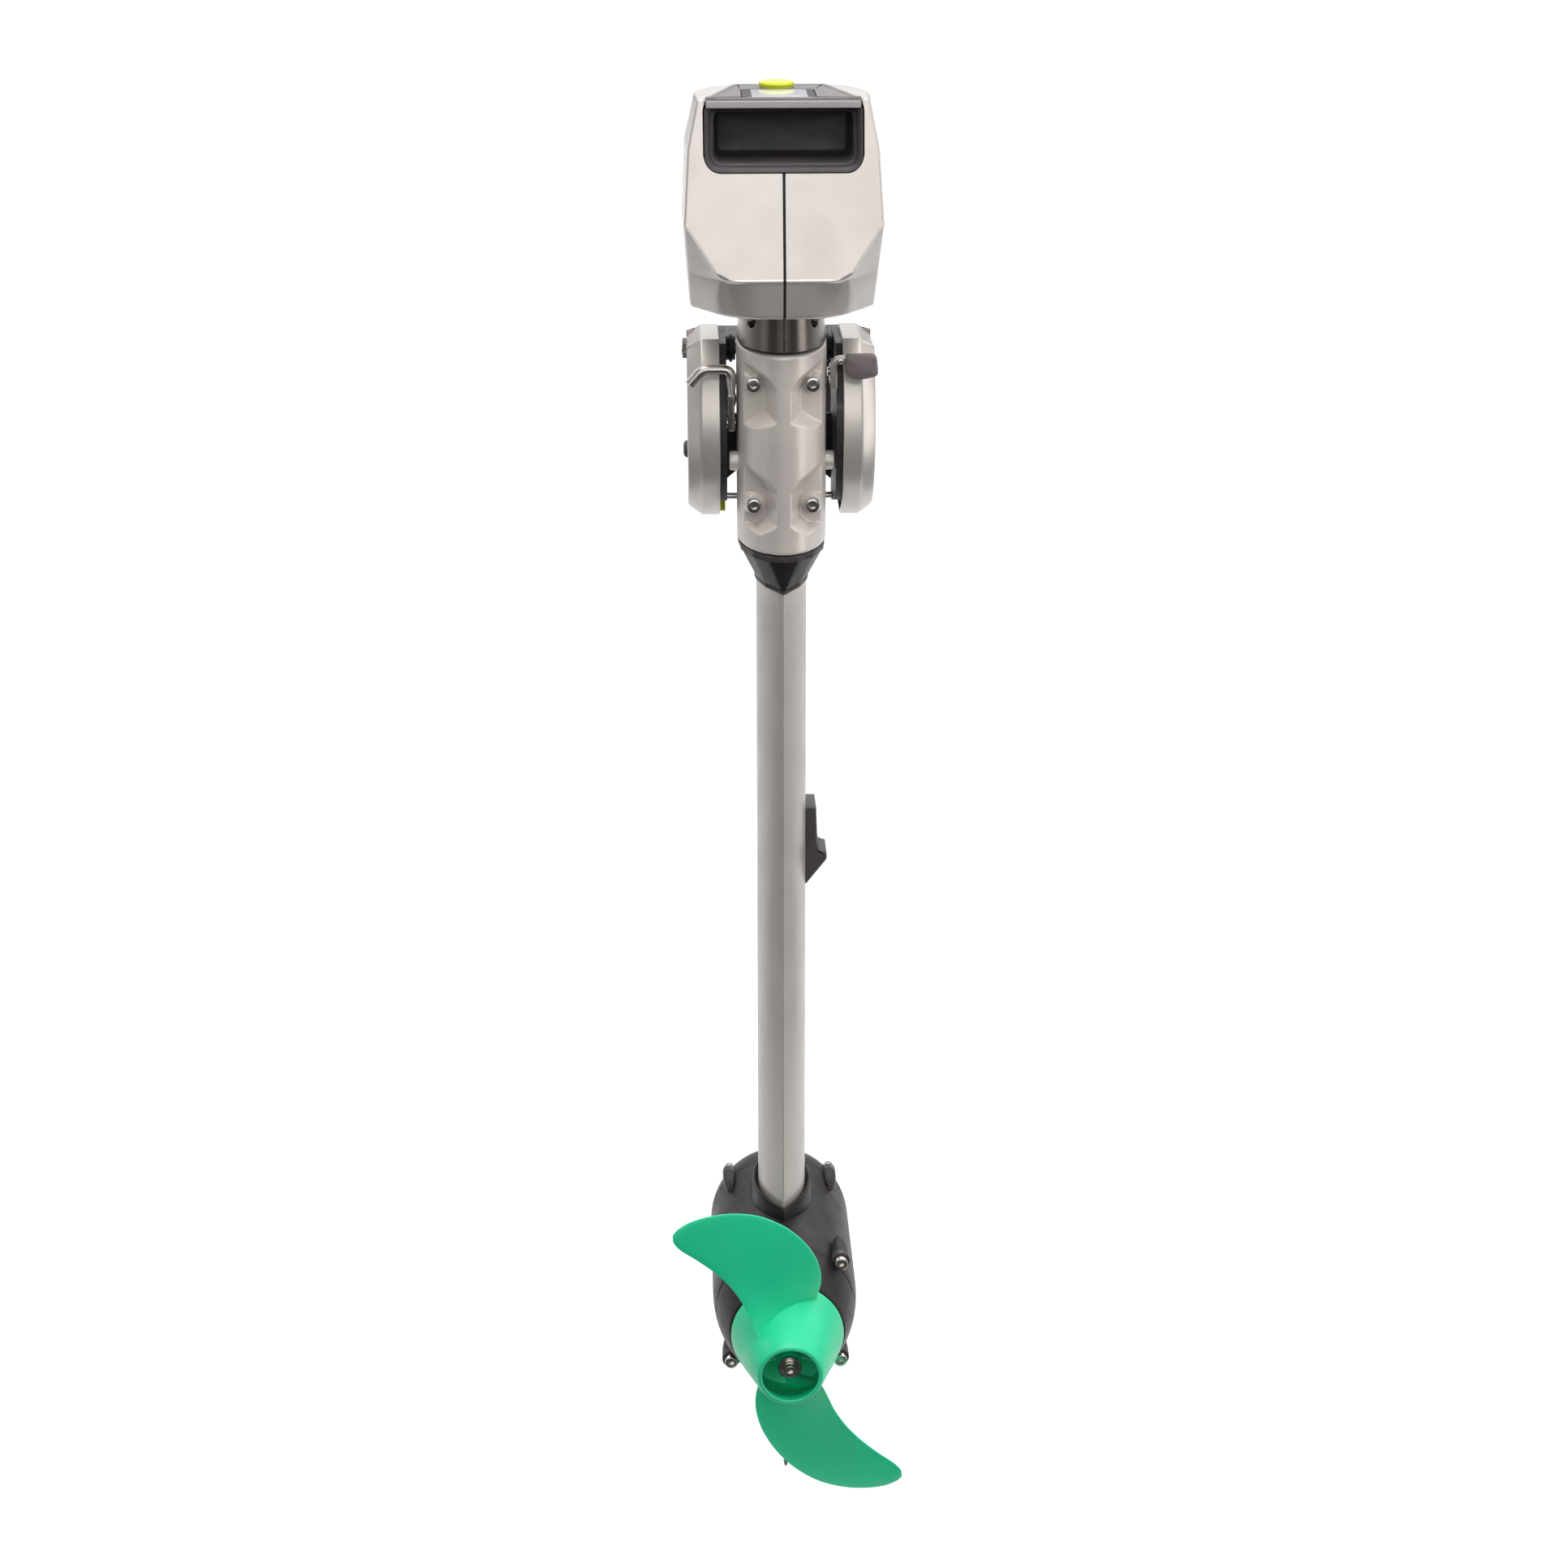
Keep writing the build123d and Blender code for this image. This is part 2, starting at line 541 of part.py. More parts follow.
def motor_cable():
    return rod_z(PROP_Z + 45.5, 65, 0, STEER_Y, 4)


def corners():
    """The four places of the pod's corner screws, as (x, z)."""
    angles = [math.radians(a) for a in (45, 135, 225, 315)]
    return [(BOSS_AT * math.cos(a), PROP_Z + BOSS_AT * math.sin(a)) for a in angles]


def corner_bosses(s0, s1):
    return [rod_y(aft(s1), aft(s0), x, z, BOSS_R) for x, z in corners()]


def corner_holes(shape, s0, s1, radius=M6_SHANK):
    for x, z in corners():
        shape -= rod_y(aft(s1), aft(s0), x, z, radius)
    return shape


def motor_housing():
    """Middle of the pod with the socket that takes the leg."""
    body = rod_y(aft(BODY_END), aft(NOSE_END), 0, PROP_Z, POD_R)
    for boss in corner_bosses(BODY_END - 26, BODY_END) + corner_bosses(NOSE_END, NOSE_END + 20):
        body += boss
    socket = loft([leg_section(5.5, PROP_Z + 44), leg_section(3.2, LEG_BOTTOM + 12)])
    body += socket
    body -= extrude(leg_section(0, LEG_BOTTOM), 40)
    body -= rod_y(aft(BODY_END + 1), aft(NOSE_END - 1), 0, PROP_Z, POD_BORE)
    body -= rod_z(PROP_Z + 40, LEG_BOTTOM + 1, 0, STEER_Y, 4.5)
    body = corner_holes(body, BODY_END - 22, BODY_END + 1)
    return corner_holes(body, NOSE_END - 1, NOSE_END + 18)


def pod_nose():
    """Rounded nose with the front bearing's carrier."""
    length = NOSE_END - NOSE_TIP
    steps = 8
    outline = [(NOSE_END, 0.0)]
    for i in range(steps + 1):
        turn = math.pi / 2 * i / steps
        outline.append((NOSE_END - length * math.sin(turn), POD_R * math.cos(turn)))
    nose = revolve_y(outline[:-1] + [(NOSE_TIP, 0.0)])
    nose += rod_y(aft(-30), aft(NOSE_END), 0, PROP_Z, 24)
    nose -= rod_y(aft(-29), aft(-30 - BEARING_T), 0, PROP_Z, BEARING_R)
    nose -= rod_y(aft(-29), aft(-48), 0, PROP_Z, SHAFT_R + 2)
    for boss in corner_bosses(NOSE_END - 8, NOSE_END):
        nose += boss
    nose = corner_holes(nose, NOSE_END - 24, NOSE_END - 8, M6_HEAD + 0.4)
    return corner_holes(nose, NOSE_END - 9, NOSE_END + 1)


def pod_tail():
    """Tail cone with the rear bearing and the shaft seal."""
    tail = revolve_y([(BODY_END, 0), (BODY_END, POD_R), (106, 54.5), (118, 50.5),
                      (TAIL_END, 44), (TAIL_END, 0)])
    for boss in corner_bosses(BODY_END, BODY_END + 3):
        tail += boss
    tail = corner_holes(tail, BODY_END + 3, BODY_END + 16, M6_HEAD + 0.4)
    tail -= rod_y(aft(98 + BEARING_T), aft(BODY_END - 1), 0, PROP_Z, BEARING_R)
    tail -= rod_y(aft(110 + SEAL_T), aft(110), 0, PROP_Z, SEAL_R)
    tail -= rod_y(aft(TAIL_END + 1), aft(BODY_END), 0, PROP_Z, SHAFT_R + 2)
    return corner_holes(tail, BODY_END - 1, BODY_END + 4)


def pod_screws():
    group = []
    for x, z in corners():
        group.append(socket_screw(x, z, aft(BODY_END + 3), aft(BODY_END - 20), -1))
        group.append(socket_screw(x, z, aft(NOSE_END - 8), aft(NOSE_END + 16), 1))
    return Compound(children=group)


def skeg():
    """Thin fin under the pod."""
    fin = poly_yz([(aft(-20), PROP_Z - 50), (aft(88), PROP_Z - 50), (aft(106), SKEG_TIP_Z + 12),
                   (aft(100), SKEG_TIP_Z), (aft(62), SKEG_TIP_Z)])
    plate = prism_x(fin, -1.6, 1.6)
    return plate - rod_y(aft(200), aft(-60), 0, PROP_Z, POD_R)


def shaft_bearings():
    return Compound(children=[tube_y(-40, -30, BEARING_R, SHAFT_R + 0.03),
                              tube_y(98, 108, BEARING_R, SHAFT_R + 0.03)])


def shaft_seal():
    return tube_y(110, 110 + SEAL_T, SEAL_R, SHAFT_R + RUN_FIT)


def stator():
    """Laminated ring with twelve slots towards the rotor."""
    ring = tube_y(8, 74, POD_BORE, 31)
    for i in range(12):
        angle = math.radians(30 * i)
        x, z = 36 * math.cos(angle), PROP_Z + 36 * math.sin(angle)
        ring -= rod_y(aft(75), aft(7), x, z, 3.2)
    return ring


def windings():
    return Compound(children=[tube_y(-6, 7.5, 45, 33), tube_y(74.5, 88, 45, 33)])


def rotor():
    return tube_y(5, 77, 30.3, SHAFT_R)


def drive_shaft():
    shaft = rod_y(aft(SHAFT_END), aft(SHAFT_FRONT), 0, PROP_Z, SHAFT_R)
    shaft -= rod_y(aft(SHAFT_END + 1), aft(SHAFT_END - 20), 0, PROP_Z, M6_SHANK)
    return shaft - rod_x(-20, 20, aft(142), PROP_Z, 2)


def shear_pin():
    return rod_x(-16, 16, aft(142), PROP_Z, 2)


# ---- propeller ------------------------------------------------------------------
def helix_strip():
    """Thick helical ramp that the blade is cut from."""
    sections = []
    for degrees in range(-56, 65, 12):
        lag = math.radians(degrees)
        out_x, out_z = -math.sin(lag), math.cos(lag)
        s = BLADE_S + PITCH * lag / (2 * math.pi)
        corners = []
        for r, t in ((15, BLADE_ROOT_T), (142, BLADE_TIP_T), (142, -BLADE_TIP_T),
                     (15, -BLADE_ROOT_T)):
            corners.append((r * out_x, aft(s + t / 2), PROP_Z + r * out_z))
        sections.append(make_face(Polyline(*corners, close=True)))
    return loft(sections)


def blade():
    """Upper blade: the ramp trimmed to its skewed outline."""
    lead = Spline(*[(-x, 0, z) for x, z in LEADING_EDGE])
    tip = Line((-LEADING_EDGE[-1][0], 0, LEADING_EDGE[-1][1]),
               (-TRAILING_EDGE[0][0], 0, TRAILING_EDGE[0][1]))
    trail = Spline(*[(-x, 0, z) for x, z in TRAILING_EDGE])
    root = Line((-TRAILING_EDGE[-1][0], 0, TRAILING_EDGE[-1][1]),
                (-LEADING_EDGE[0][0], 0, LEADING_EDGE[0][1]))
    outline = make_face([lead, tip, trail, root])
    cutter = Pos(0, aft(230), PROP_Z) * extrude(outline, 140, dir=(0, 1, 0))
    return helix_strip() & cutter


def propeller():
    upper = blade()
    lower = upper.rotate(Axis((0, 0, PROP_Z), (0, 1, 0)), 180)
    hub = revolve_y([(HUB_START, 0), (HUB_START, HUB_BASE_R), (150, 38), (175, 30),
                     (HUB_END, HUB_TIP_R), (HUB_END, 0)])
    hollow = revolve_y([(HUB_END + 1, 0), (HUB_END + 1, HUB_HOLE_R), (170, 27), (152, 32),
                        (152, 0)])
    boss = rod_y(aft(178), aft(150), 0, PROP_Z, HUB_BOSS_R)
    prop = (hub + upper + lower) - hollow + boss
    prop -= rod_y(aft(HUB_END + 5), aft(HUB_START - 1), 0, PROP_Z, SHAFT_R)
    return prop - rod_x(-16, 16, aft(142), PROP_Z, 2)


def prop_washer():
    return tube_y(178, 180, 9, M6_SHANK)


def prop_screw():
    return socket_screw(0, PROP_Z, aft(180), aft(SHAFT_END - 18), -1)


# ---- tiller ---------------------------------------------------------------------
def tiller_bracket(head):
    """Fork on the front of the head that carries the tiller's hinge pin."""
    fork = block((-16, 16), (-40, 13), (128, 158))
    fork = fork - head - block((-KNUCKLE_HALF - 0.3, KNUCKLE_HALF + 0.3), (-9.5, 20), (120, 170))
    return fork - rod_x(-20, 20, TILLER_Y, TILLER_Z, PIN_R)


def tiller_pin():
    return rod_x(-16, 16, TILLER_Y, TILLER_Z, PIN_R)


def tiller_arm():
    arm = rod_x(-KNUCKLE_HALF, KNUCKLE_HALF, TILLER_Y, TILLER_Z, KNUCKLE_R)
    arm += block((-KNUCKLE_HALF, KNUCKLE_HALF), (TILLER_Y, ARM_START + 2),
                 (TILLER_Z - 9, TILLER_Z + 9))
    arm += rod_y(ARM_START, ARM_END, 0, TILLER_Z, ARM_R)
    arm += rod_y(ARM_END, SPINDLE_END, 0, TILLER_Z, SPINDLE_R)
    return arm - rod_x(-20, 20, TILLER_Y, TILLER_Z, PIN_R + RUN_FIT)


def throttle_grip():
    """Twist grip with shallow flutes along it."""
    grip = rod_y(GRIP_START, GRIP_END, 0, TILLER_Z, GRIP_R)
    for i in range(12):
        angle = math.radians(30 * i)
        x, z = GRIP_R * math.cos(angle), TILLER_Z + GRIP_R * math.sin(angle)
        grip -= rod_y(GRIP_START + 12, GRIP_END - 10, x, z, 1.4)
    return grip - rod_y(GRIP_START - 1, SPINDLE_END + 1, 0, TILLER_Z, SPINDLE_R + RUN_FIT)


def parts():
    """Every piece of the motor by its node name."""
    right_shell, left_shell, head = head_shells()
    right_neck, left_neck = neck_covers()
    rear, front = housing_halves()
    arm, cover, pad, screw = clamp_arm(), arm_cover(), clamp_pad(), clamp_screw()
    seat, web = bridge()
    return {
        "clamp_arm_right": arm,
        "clamp_arm_left": mirror_x(arm) - tab_slot(),
        "transom_bridge": seat,
        "arm_web": web,
        "arm_cover_right": cover,
        "arm_cover_left": mirror_x(cover),
        "tilt_axle": axle(),
        "tilt_axle_nut": axle_nut(-COVER_OUT, -COVER_OUT - 3),
        "tilt_spacers": tilt_spacers(),
        "thrust_rod": thrust_rod(),
        "rod_tab": rod_tab(),
        "lock_dome": lock_dome(),
        "lever_pivots": lever_pivots(),
        "left_lever": left_lever(),
        "right_lever": right_lever(),
        "right_lever_grip": right_lever_grip(),
        "clamp_pad_right": pad,
        "clamp_pad_left": mirror_x(pad),
        "clamp_screw_right": screw,
        "clamp_screw_left": mirror_x(screw),
        "swivel_housing_rear": rear,
        "swivel_housing_front": front,
        "swivel_screws": swivel_screws(),
        "steering_bush_upper": bush(HOUSING_TOP - BUSH_LEN),
        "steering_bush_lower": bush(HOUSING_BOTTOM),
        "head_shell_right": right_shell,
        "head_shell_left": left_shell,
        "handle_liner": handle_liner(),
        "deck_panel": deck_panel(),
        "display_window": display_window(),
        "stop_key": stop_key(),
        "power_button": power_button(),
        "battery_pack": battery_pack(),
        "controller": controller(),
        "neck_cover_right": right_neck,
        "neck_cover_left": left_neck,
        "steering_tube": steering_tube(),
        "leg_collar": collar(),
        "leg_fairing": leg_fairing(),
        "leg_hook": leg_hook(),
        "motor_cable": motor_cable(),
        "motor_housing": motor_housing(),
        "pod_nose": pod_nose(),
        "pod_tail": pod_tail(),
        "pod_screws": pod_screws(),
        "skeg": skeg(),
        "stator": stator(),
        "windings": windings(),
        "shaft_bearings": shaft_bearings(),
        "shaft_seal": shaft_seal(),
        "rotor": rotor(),
        "drive_shaft": drive_shaft(),
        "shear_pin": shear_pin(),
        "propeller": propeller(),
        "prop_washer": prop_washer(),
        "prop_screw": prop_screw(),
        "tiller_bracket": tiller_bracket(head),
        "tiller_pin": tiller_pin(),
        "tiller_arm": tiller_arm(),
        "throttle_grip": throttle_grip(),
    }


for name, shape in parts().items():
    export_step(shape, f"parts/{name}.step")
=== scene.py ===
"""Looks of a portable electric outboard motor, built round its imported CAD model.

Shapes are worked out in millimetres as (x, distance aft of the steering axis, z) and put into
the meshes in metres. Every piece stands for the CAD nodes it names and rides on their body.
"""
import logging
import math
from dataclasses import dataclass, field
from enum import Enum

import bmesh
import bpy
import numpy as np
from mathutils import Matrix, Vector


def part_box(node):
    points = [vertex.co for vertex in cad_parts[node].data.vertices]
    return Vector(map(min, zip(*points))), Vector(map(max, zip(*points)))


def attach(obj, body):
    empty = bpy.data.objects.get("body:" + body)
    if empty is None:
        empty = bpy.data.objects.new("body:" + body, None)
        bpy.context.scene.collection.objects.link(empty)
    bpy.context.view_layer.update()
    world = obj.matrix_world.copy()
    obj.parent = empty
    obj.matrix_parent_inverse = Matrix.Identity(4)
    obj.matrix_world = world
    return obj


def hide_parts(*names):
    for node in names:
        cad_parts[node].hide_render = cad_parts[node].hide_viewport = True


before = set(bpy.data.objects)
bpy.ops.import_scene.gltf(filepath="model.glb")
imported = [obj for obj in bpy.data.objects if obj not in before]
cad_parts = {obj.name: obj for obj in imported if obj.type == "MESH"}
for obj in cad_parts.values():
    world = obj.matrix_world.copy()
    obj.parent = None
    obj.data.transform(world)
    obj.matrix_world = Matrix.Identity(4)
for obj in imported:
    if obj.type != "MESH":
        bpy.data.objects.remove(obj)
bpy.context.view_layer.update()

MM = 0.001
WEAR_SPECK = 3.0        # size of the broken spots on worn edges, mm
COAT_ROUGHNESS = 0.12   # of every clear coat
LOG = logging.getLogger("outboard")


# ---- numbers and places ----------------------------------------------------
def middle(node: str) -> np.ndarray:
    """Centre of a CAD node's box in millimetres."""
    low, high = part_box(node)
    return (np.array(low) + np.array(high)) / 2 / MM


STEER_Y = float(middle("steering_tube")[1])
PROP_Z = float(middle("drive_shaft")[2])
SHAFT = np.array([0.0, STEER_Y, PROP_Z])   # where the shaft crosses the steering axis


def aft(x: "np.ndarray | float", s: "np.ndarray | float",
        z: "np.ndarray | float") -> np.ndarray:
    """Points in millimetres from x, the distance s aft of the steering axis, and z."""
    x, s, z = np.broadcast_arrays(np.asarray(x, float), s, z)
    return np.stack([x, STEER_Y - s, z], -1)


def smooth_min(a: np.ndarray, b: np.ndarray, radius: float) -> np.ndarray:
    """Lower of two heights, with a parabola of the given radius where they cross."""
    near = np.clip(1 - np.abs(a - b) / radius, 0, 1)
    return np.minimum(a, b) - near * near * radius / 4


def smooth_max(a: np.ndarray, b: np.ndarray, radius: float) -> np.ndarray:
    """Higher of two heights, with a parabola of the given radius where they cross."""
    return -smooth_min(-a, -b, radius)


def rounded_path(corners: np.ndarray, reach: np.ndarray, steps: int, runs: list,
                 closed: bool = False) -> np.ndarray:
    """Path through corners, each replaced by the quadratic curve that starts and ends at
    reach from it along its two sides. Every row has its own corners and equal counts.

    Args:
        corners: array (rows, n, 2).
        reach: array that broadcasts to (rows, inner corners).
        steps: points on each curve.
        runs: for each straight run, a count of inner points or their fractions (rows, k).
        closed: whether the last corner joins the first.

    Returns:
        Array (rows, points, 2).
    """
    if closed:
        corners = np.concatenate([corners[:, -1:], corners, corners[:, :1]], 1)
    mid = corners[:, 1:-1]
    into, out = mid - corners[:, :-2], corners[:, 2:] - mid
    len_in = np.linalg.norm(into, axis=-1) + 1e-9
    len_out = np.linalg.norm(out, axis=-1) + 1e-9
    take = np.minimum(reach, 0.46 * np.minimum(len_in, len_out))[..., None]
    start, end = mid - into / len_in[..., None] * take, mid + out / len_out[..., None] * take
    t = np.linspace(0, 1, steps)[None, None, :, None]
    arcs = (1 - t) ** 2 * start[:, :, None] + 2 * t * (1 - t) * mid[:, :, None] \
        + t ** 2 * end[:, :, None]
    if closed:
        froms, tos = end, np.roll(start, -1, axis=1)
    else:
        froms = np.concatenate([corners[:, :1], end], 1)
        tos = np.concatenate([start, corners[:, -1:]], 1)
    parts = [] if closed else [corners[:, :1]]
    for k in range(froms.shape[1]):
        if closed:
            parts.append(arcs[:, k])
        share = runs[k]
        if isinstance(share, int):
            share = np.broadcast_to(np.linspace(0, 1, share + 2)[1:-1], (len(corners), share))
        share = share[..., None]
        parts.append(froms[:, k, None] * (1 - share) + tos[:, k, None] * share)
        if not closed and k < arcs.shape[1]:
            parts.append(arcs[:, k])
    if not closed:
        parts.append(corners[:, -1:])
    return np.concatenate(parts, 1)


def ring(corners: list, reach: float, steps: int = 6, run: int = 6) -> np.ndarray:
    """Closed outline (points, 2) with rounded corners."""
    return rounded_path(np.array(corners, float)[None], np.full((1, len(corners)), reach),
                        steps, [run] * len(corners), closed=True)[0]


def shrink(loop: np.ndarray, by: float) -> np.ndarray:
    """Closed outline moved inwards by a distance, along the normal of its own path."""
    tangent = np.roll(loop, -1, 0) - np.roll(loop, 1, 0)
    tangent /= np.linalg.norm(tangent, axis=1, keepdims=True) + 1e-9
    area = np.sum(loop[:, 0] * np.roll(loop[:, 1], -1) - np.roll(loop[:, 0], -1) * loop[:, 1])
    turn = np.sign(area)
    return loop + by * turn * np.stack([-tangent[:, 1], tangent[:, 0]], 1)


def arc_through(a: tuple, b: tuple, c: tuple, count: int) -> np.ndarray:
    """Circular arc from a through b to c, without its end point: the circle's centre solves
    two linear equations of equal distance, and the angle runs evenly."""
    a, b, c = (np.array(p, float) for p in (a, b, c))
    left = 2 * np.array([b - a, c - a])
    right = np.array([b @ b - a @ a, c @ c - a @ a])
    centre = np.linalg.solve(left, right)
    angle = [math.atan2(*(p - centre)[::-1]) for p in (a, b, c)]
    angle = np.unwrap(np.array(angle))
    turn = np.linspace(angle[0], angle[2], count + 1)[:-1]
    return centre + np.linalg.norm(a - centre) * np.stack([np.cos(turn), np.sin(turn)], 1)


def slab(outline: np.ndarray, rows: list, sideways: bool) -> list:
    """Loops of a flat part with broken edges.

    Args:
        outline: (points, 2) of (distance aft, z), or of (x, z) for a part that lies sideways.
        rows: for each loop its place across the part and its inset from the outline.
        sideways: whether places run aft, and not along x.

    Returns:
        One (points, 3) array for each row.
    """
    loops = []
    for place, inset in rows:
        first, z = shrink(outline, inset).T
        flat = np.full(len(outline), place)
        loops.append(aft(first, flat, z) if sideways else aft(flat, first, z))
    return loops


def directions(path: np.ndarray) -> tuple:
    """Unit tangent and normal (points, 2) along a path in a plane."""
    tangent = np.gradient(path, axis=0)
    tangent /= np.linalg.norm(tangent, axis=1, keepdims=True)
    return tangent, np.stack([-tangent[:, 1], tangent[:, 0]], 1)


# ---- meshes ----------------------------------------------------------------
class Skin:
    """Grids of points in millimetres that are welded into one mesh."""

    def __init__(self) -> None:
        """Start with no points."""
        self.points: list = []
        self.faces: list = []
        self.count = 0

    def grid(self, points: np.ndarray, wrap: bool = False) -> "Skin":
        """Add a grid (rows, columns, 3) as quads; wrap joins its last column to its first."""
        rows, columns = points.shape[:2]
        index = np.arange(rows * columns).reshape(rows, columns) + self.count
        if wrap:
            index = np.hstack([index, index[:, :1]])
        quads = np.stack([index[:-1, :-1], index[:-1, 1:], index[1:, 1:], index[1:, :-1]], -1)
        return self._take(points.reshape(-1, 3), quads.reshape(-1, 4))

    def disc(self, loop: np.ndarray) -> "Skin":
        """Close a loop (points, 3) with triangles to its centre."""
        index = np.arange(len(loop)) + self.count
        hub = np.full(len(loop), self.count + len(loop))
        triangles = np.stack([index, np.roll(index, -1), hub], 1)
        return self._take(np.vstack([loop, loop.mean(0)]), triangles)

    def closed(self, loops: "list | np.ndarray") -> "Skin":
        """Add a list or array of loops, with the first and the last closed by discs."""
        self.grid(np.stack(loops), wrap=True)
        return self.disc(loops[0]).disc(loops[-1])

    def _take(self, points: np.ndarray, faces: np.ndarray) -> "Skin":
        """Keep points and the faces that use them."""
        self.points.append(points)
        self.faces.append(faces)
        self.count += len(points)
        return self

    def mirrored(self) -> "Skin":
        """The same surface on the other side of the centre plane."""
        other = Skin()
        other.points = [p * (-1, 1, 1) for p in self.points]
        other.faces, other.count = list(self.faces), self.count
        return other

    def mesh(self, name: str) -> bpy.types.Mesh:
        """Weld the grids and point their faces outwards."""
        data = bpy.data.meshes.new(name)
        faces = [row for block in self.faces for row in block.tolist()]
        data.from_pydata(np.vstack(self.points) * MM, [], faces)
        weld(data, recalculate=True)
        return data


def weld(data: bpy.types.Mesh, recalculate: bool) -> None:
    """Merge doubled points and drop faces without area; optionally turn faces outwards."""
    work = bmesh.new()
    work.from_mesh(data)
    bmesh.ops.remove_doubles(work, verts=work.verts, dist=2e-6)
    bmesh.ops.dissolve_degenerate(work, edges=work.edges, dist=1e-7)
    if recalculate:
        bmesh.ops.recalc_face_normals(work, faces=work.faces)
    work.to_mesh(data)
    work.free()


def turned(profile: np.ndarray, origin: np.ndarray, axis: tuple, count: int = 64,
           radius_of: np.ndarray = None) -> np.ndarray:
    """Surface of revolution: each profile point (along, radius) goes round the axis.

    Args:
        profile: array (n, 2) of distance along the axis and radius.
        origin: the axis' zero in millimetres.
        axis: its direction.
        count: points round.
        radius_of: optional factor (n, count) on the radius.

    Returns:
        Array (n, count, 3).
    """
    profile = np.asarray(profile, float)
    main = Vector(axis).normalized()
    side = main.orthogonal().normalized()
    other = main.cross(side)
    angle = np.linspace(0, 2 * math.pi, count, endpoint=False)
    ray = np.cos(angle)[:, None] * np.array(side) + np.sin(angle)[:, None] * np.array(other)
    radius = profile[:, 1][:, None] * np.ones(count)
    if radius_of is not None:
        radius = radius * radius_of
    return np.asarray(origin) + profile[:, 0][:, None, None] * np.array(main) \
        + radius[..., None] * ray[None]


def hexagon(apothem: float, count: int) -> np.ndarray:
    """Radius of a hexagon at each of count angles: the apothem over the cosine of the angle
    from the nearest flat's middle."""
    angle = np.linspace(0, 2 * math.pi, count, endpoint=False)
    return apothem / np.cos((angle + math.pi / 6) % (math.pi / 3) - math.pi / 6)


def bolt(skin: Skin, seat: np.ndarray, axis: tuple, head: float, height: float,
         key: float, shank: float, length: float) -> None:
    """Cap screw: shank, chamfered round head and a hexagon socket sunk in it.

    Args:
        skin: surface that takes it.
        seat: where the head's underside rests.
        axis: direction from seat to head.
        head: head's radius. height: its height. key: socket's width across flats.
        shank: shank's radius. length: its length.
    """
    count = 48
    chamfer = 0.12 * head
    outer = [(-length, shank), (0, shank), (0, head), (height - chamfer, head),
             (height - chamfer / 3, head - chamfer / 3), (height, head - chamfer),
             (height, key * 0.62)]
    body = turned(np.array(outer), seat, axis, count)
    socket_rows = np.array([(height, 1.0), (height - 0.3, 0.94), (height * 0.45, 0.94)])
    factor = np.broadcast_to(hexagon(key / 2, count), (3, count))
    socket = turned(socket_rows, seat, axis, count, factor)
    skin.grid(np.concatenate([body, socket]), wrap=True)
    skin.disc(body[0]).disc(socket[-1])


@dataclass
class Piece:
    """A finished piece of the visual model."""

    name: str
    body: str
    stands_for: tuple
    bevel: float = 0.0
    wall: float = 0.0
    sharp: float = 38.0

    def make(self, source: "Skin | bpy.types.Mesh", finish: "Finish") -> bpy.types.Object:
        """Put a skin or mesh in the scene, dress it, and tie it to its body.

        Args:
            source: Skin or Mesh.
            finish: what it is made of.

        Returns:
            The new object.
        """
        data = source.mesh(self.name) if isinstance(source, Skin) else source
        obj = bpy.data.objects.new(self.name, data)
        bpy.context.scene.collection.objects.link(obj)
        data.shade_smooth()
        data.set_sharp_from_angle(angle=math.radians(self.sharp))
        if self.wall:
            solid = obj.modifiers.new("wall", "SOLIDIFY")
            solid.thickness, solid.offset = self.wall * MM, -1.0
        if self.bevel:
            soften(obj, self.bevel)
        data.materials.clear()
        data.materials.append(finish.material())
        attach(obj, self.body)
        if self.stands_for:
            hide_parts(*self.stands_for)
        LOG.info("%s: %d faces, %s", self.name, len(data.polygons), finish.name)
        return obj


def soften(obj: bpy.types.Object, width: float) -> None:
    """Round an object's sharp edges by a width in millimetres."""
    bevel = obj.modifiers.new("soft edges", "BEVEL")
    bevel.width, bevel.segments = width * MM, 2
    bevel.limit_method, bevel.angle_limit = "ANGLE", math.radians(50)
    bevel.harden_normals = True


def softened_node(node: str, body: str, finish: "Finish", width: float) -> bpy.types.Object:
    """A CAD node's own shape with its machined edges broken.

    Args:
        node: the CAD node.
        body: the body it rides on.
        finish: what it is made of.
        width: width of the broken edges in millimetres.

    Returns:
        The new object.
    """
    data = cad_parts[node].data.copy()
    data.name = node + "_soft"
    weld(data, recalculate=False)
    work = bmesh.new()
    work.from_mesh(data)
    bmesh.ops.dissolve_limit(work, angle_limit=math.radians(0.5), verts=work.verts,
                             edges=work.edges)
    work.to_mesh(data)
    work.free()
    return Piece(node + "_piece", body, (node,), bevel=width).make(data, finish)


# ---- finishes --------------------------------------------------------------
def linear(colour: str) -> tuple:
    """Linear RGBA of an sRGB hex colour."""
    parts = [int(colour[i:i + 2], 16) / 255 for i in (1, 3, 5)]
    return (*[c / 12.92 if c <= 0.04045 else ((c + 0.055) / 1.055) ** 2.4 for c in parts], 1.0)


def add(tree: bpy.types.NodeTree, kind: str, inputs: dict, **settings) -> bpy.types.Node:
    """Add a node, set its properties, and set or link its inputs."""
    made = tree.nodes.new(kind)
    for key, value in settings.items():
        setattr(made, key, value)
    for key, value in inputs.items():
        if isinstance(value, bpy.types.NodeSocket):
            tree.links.new(value, made.inputs[key])
        else:
            made.inputs[key].default_value = value
    return made


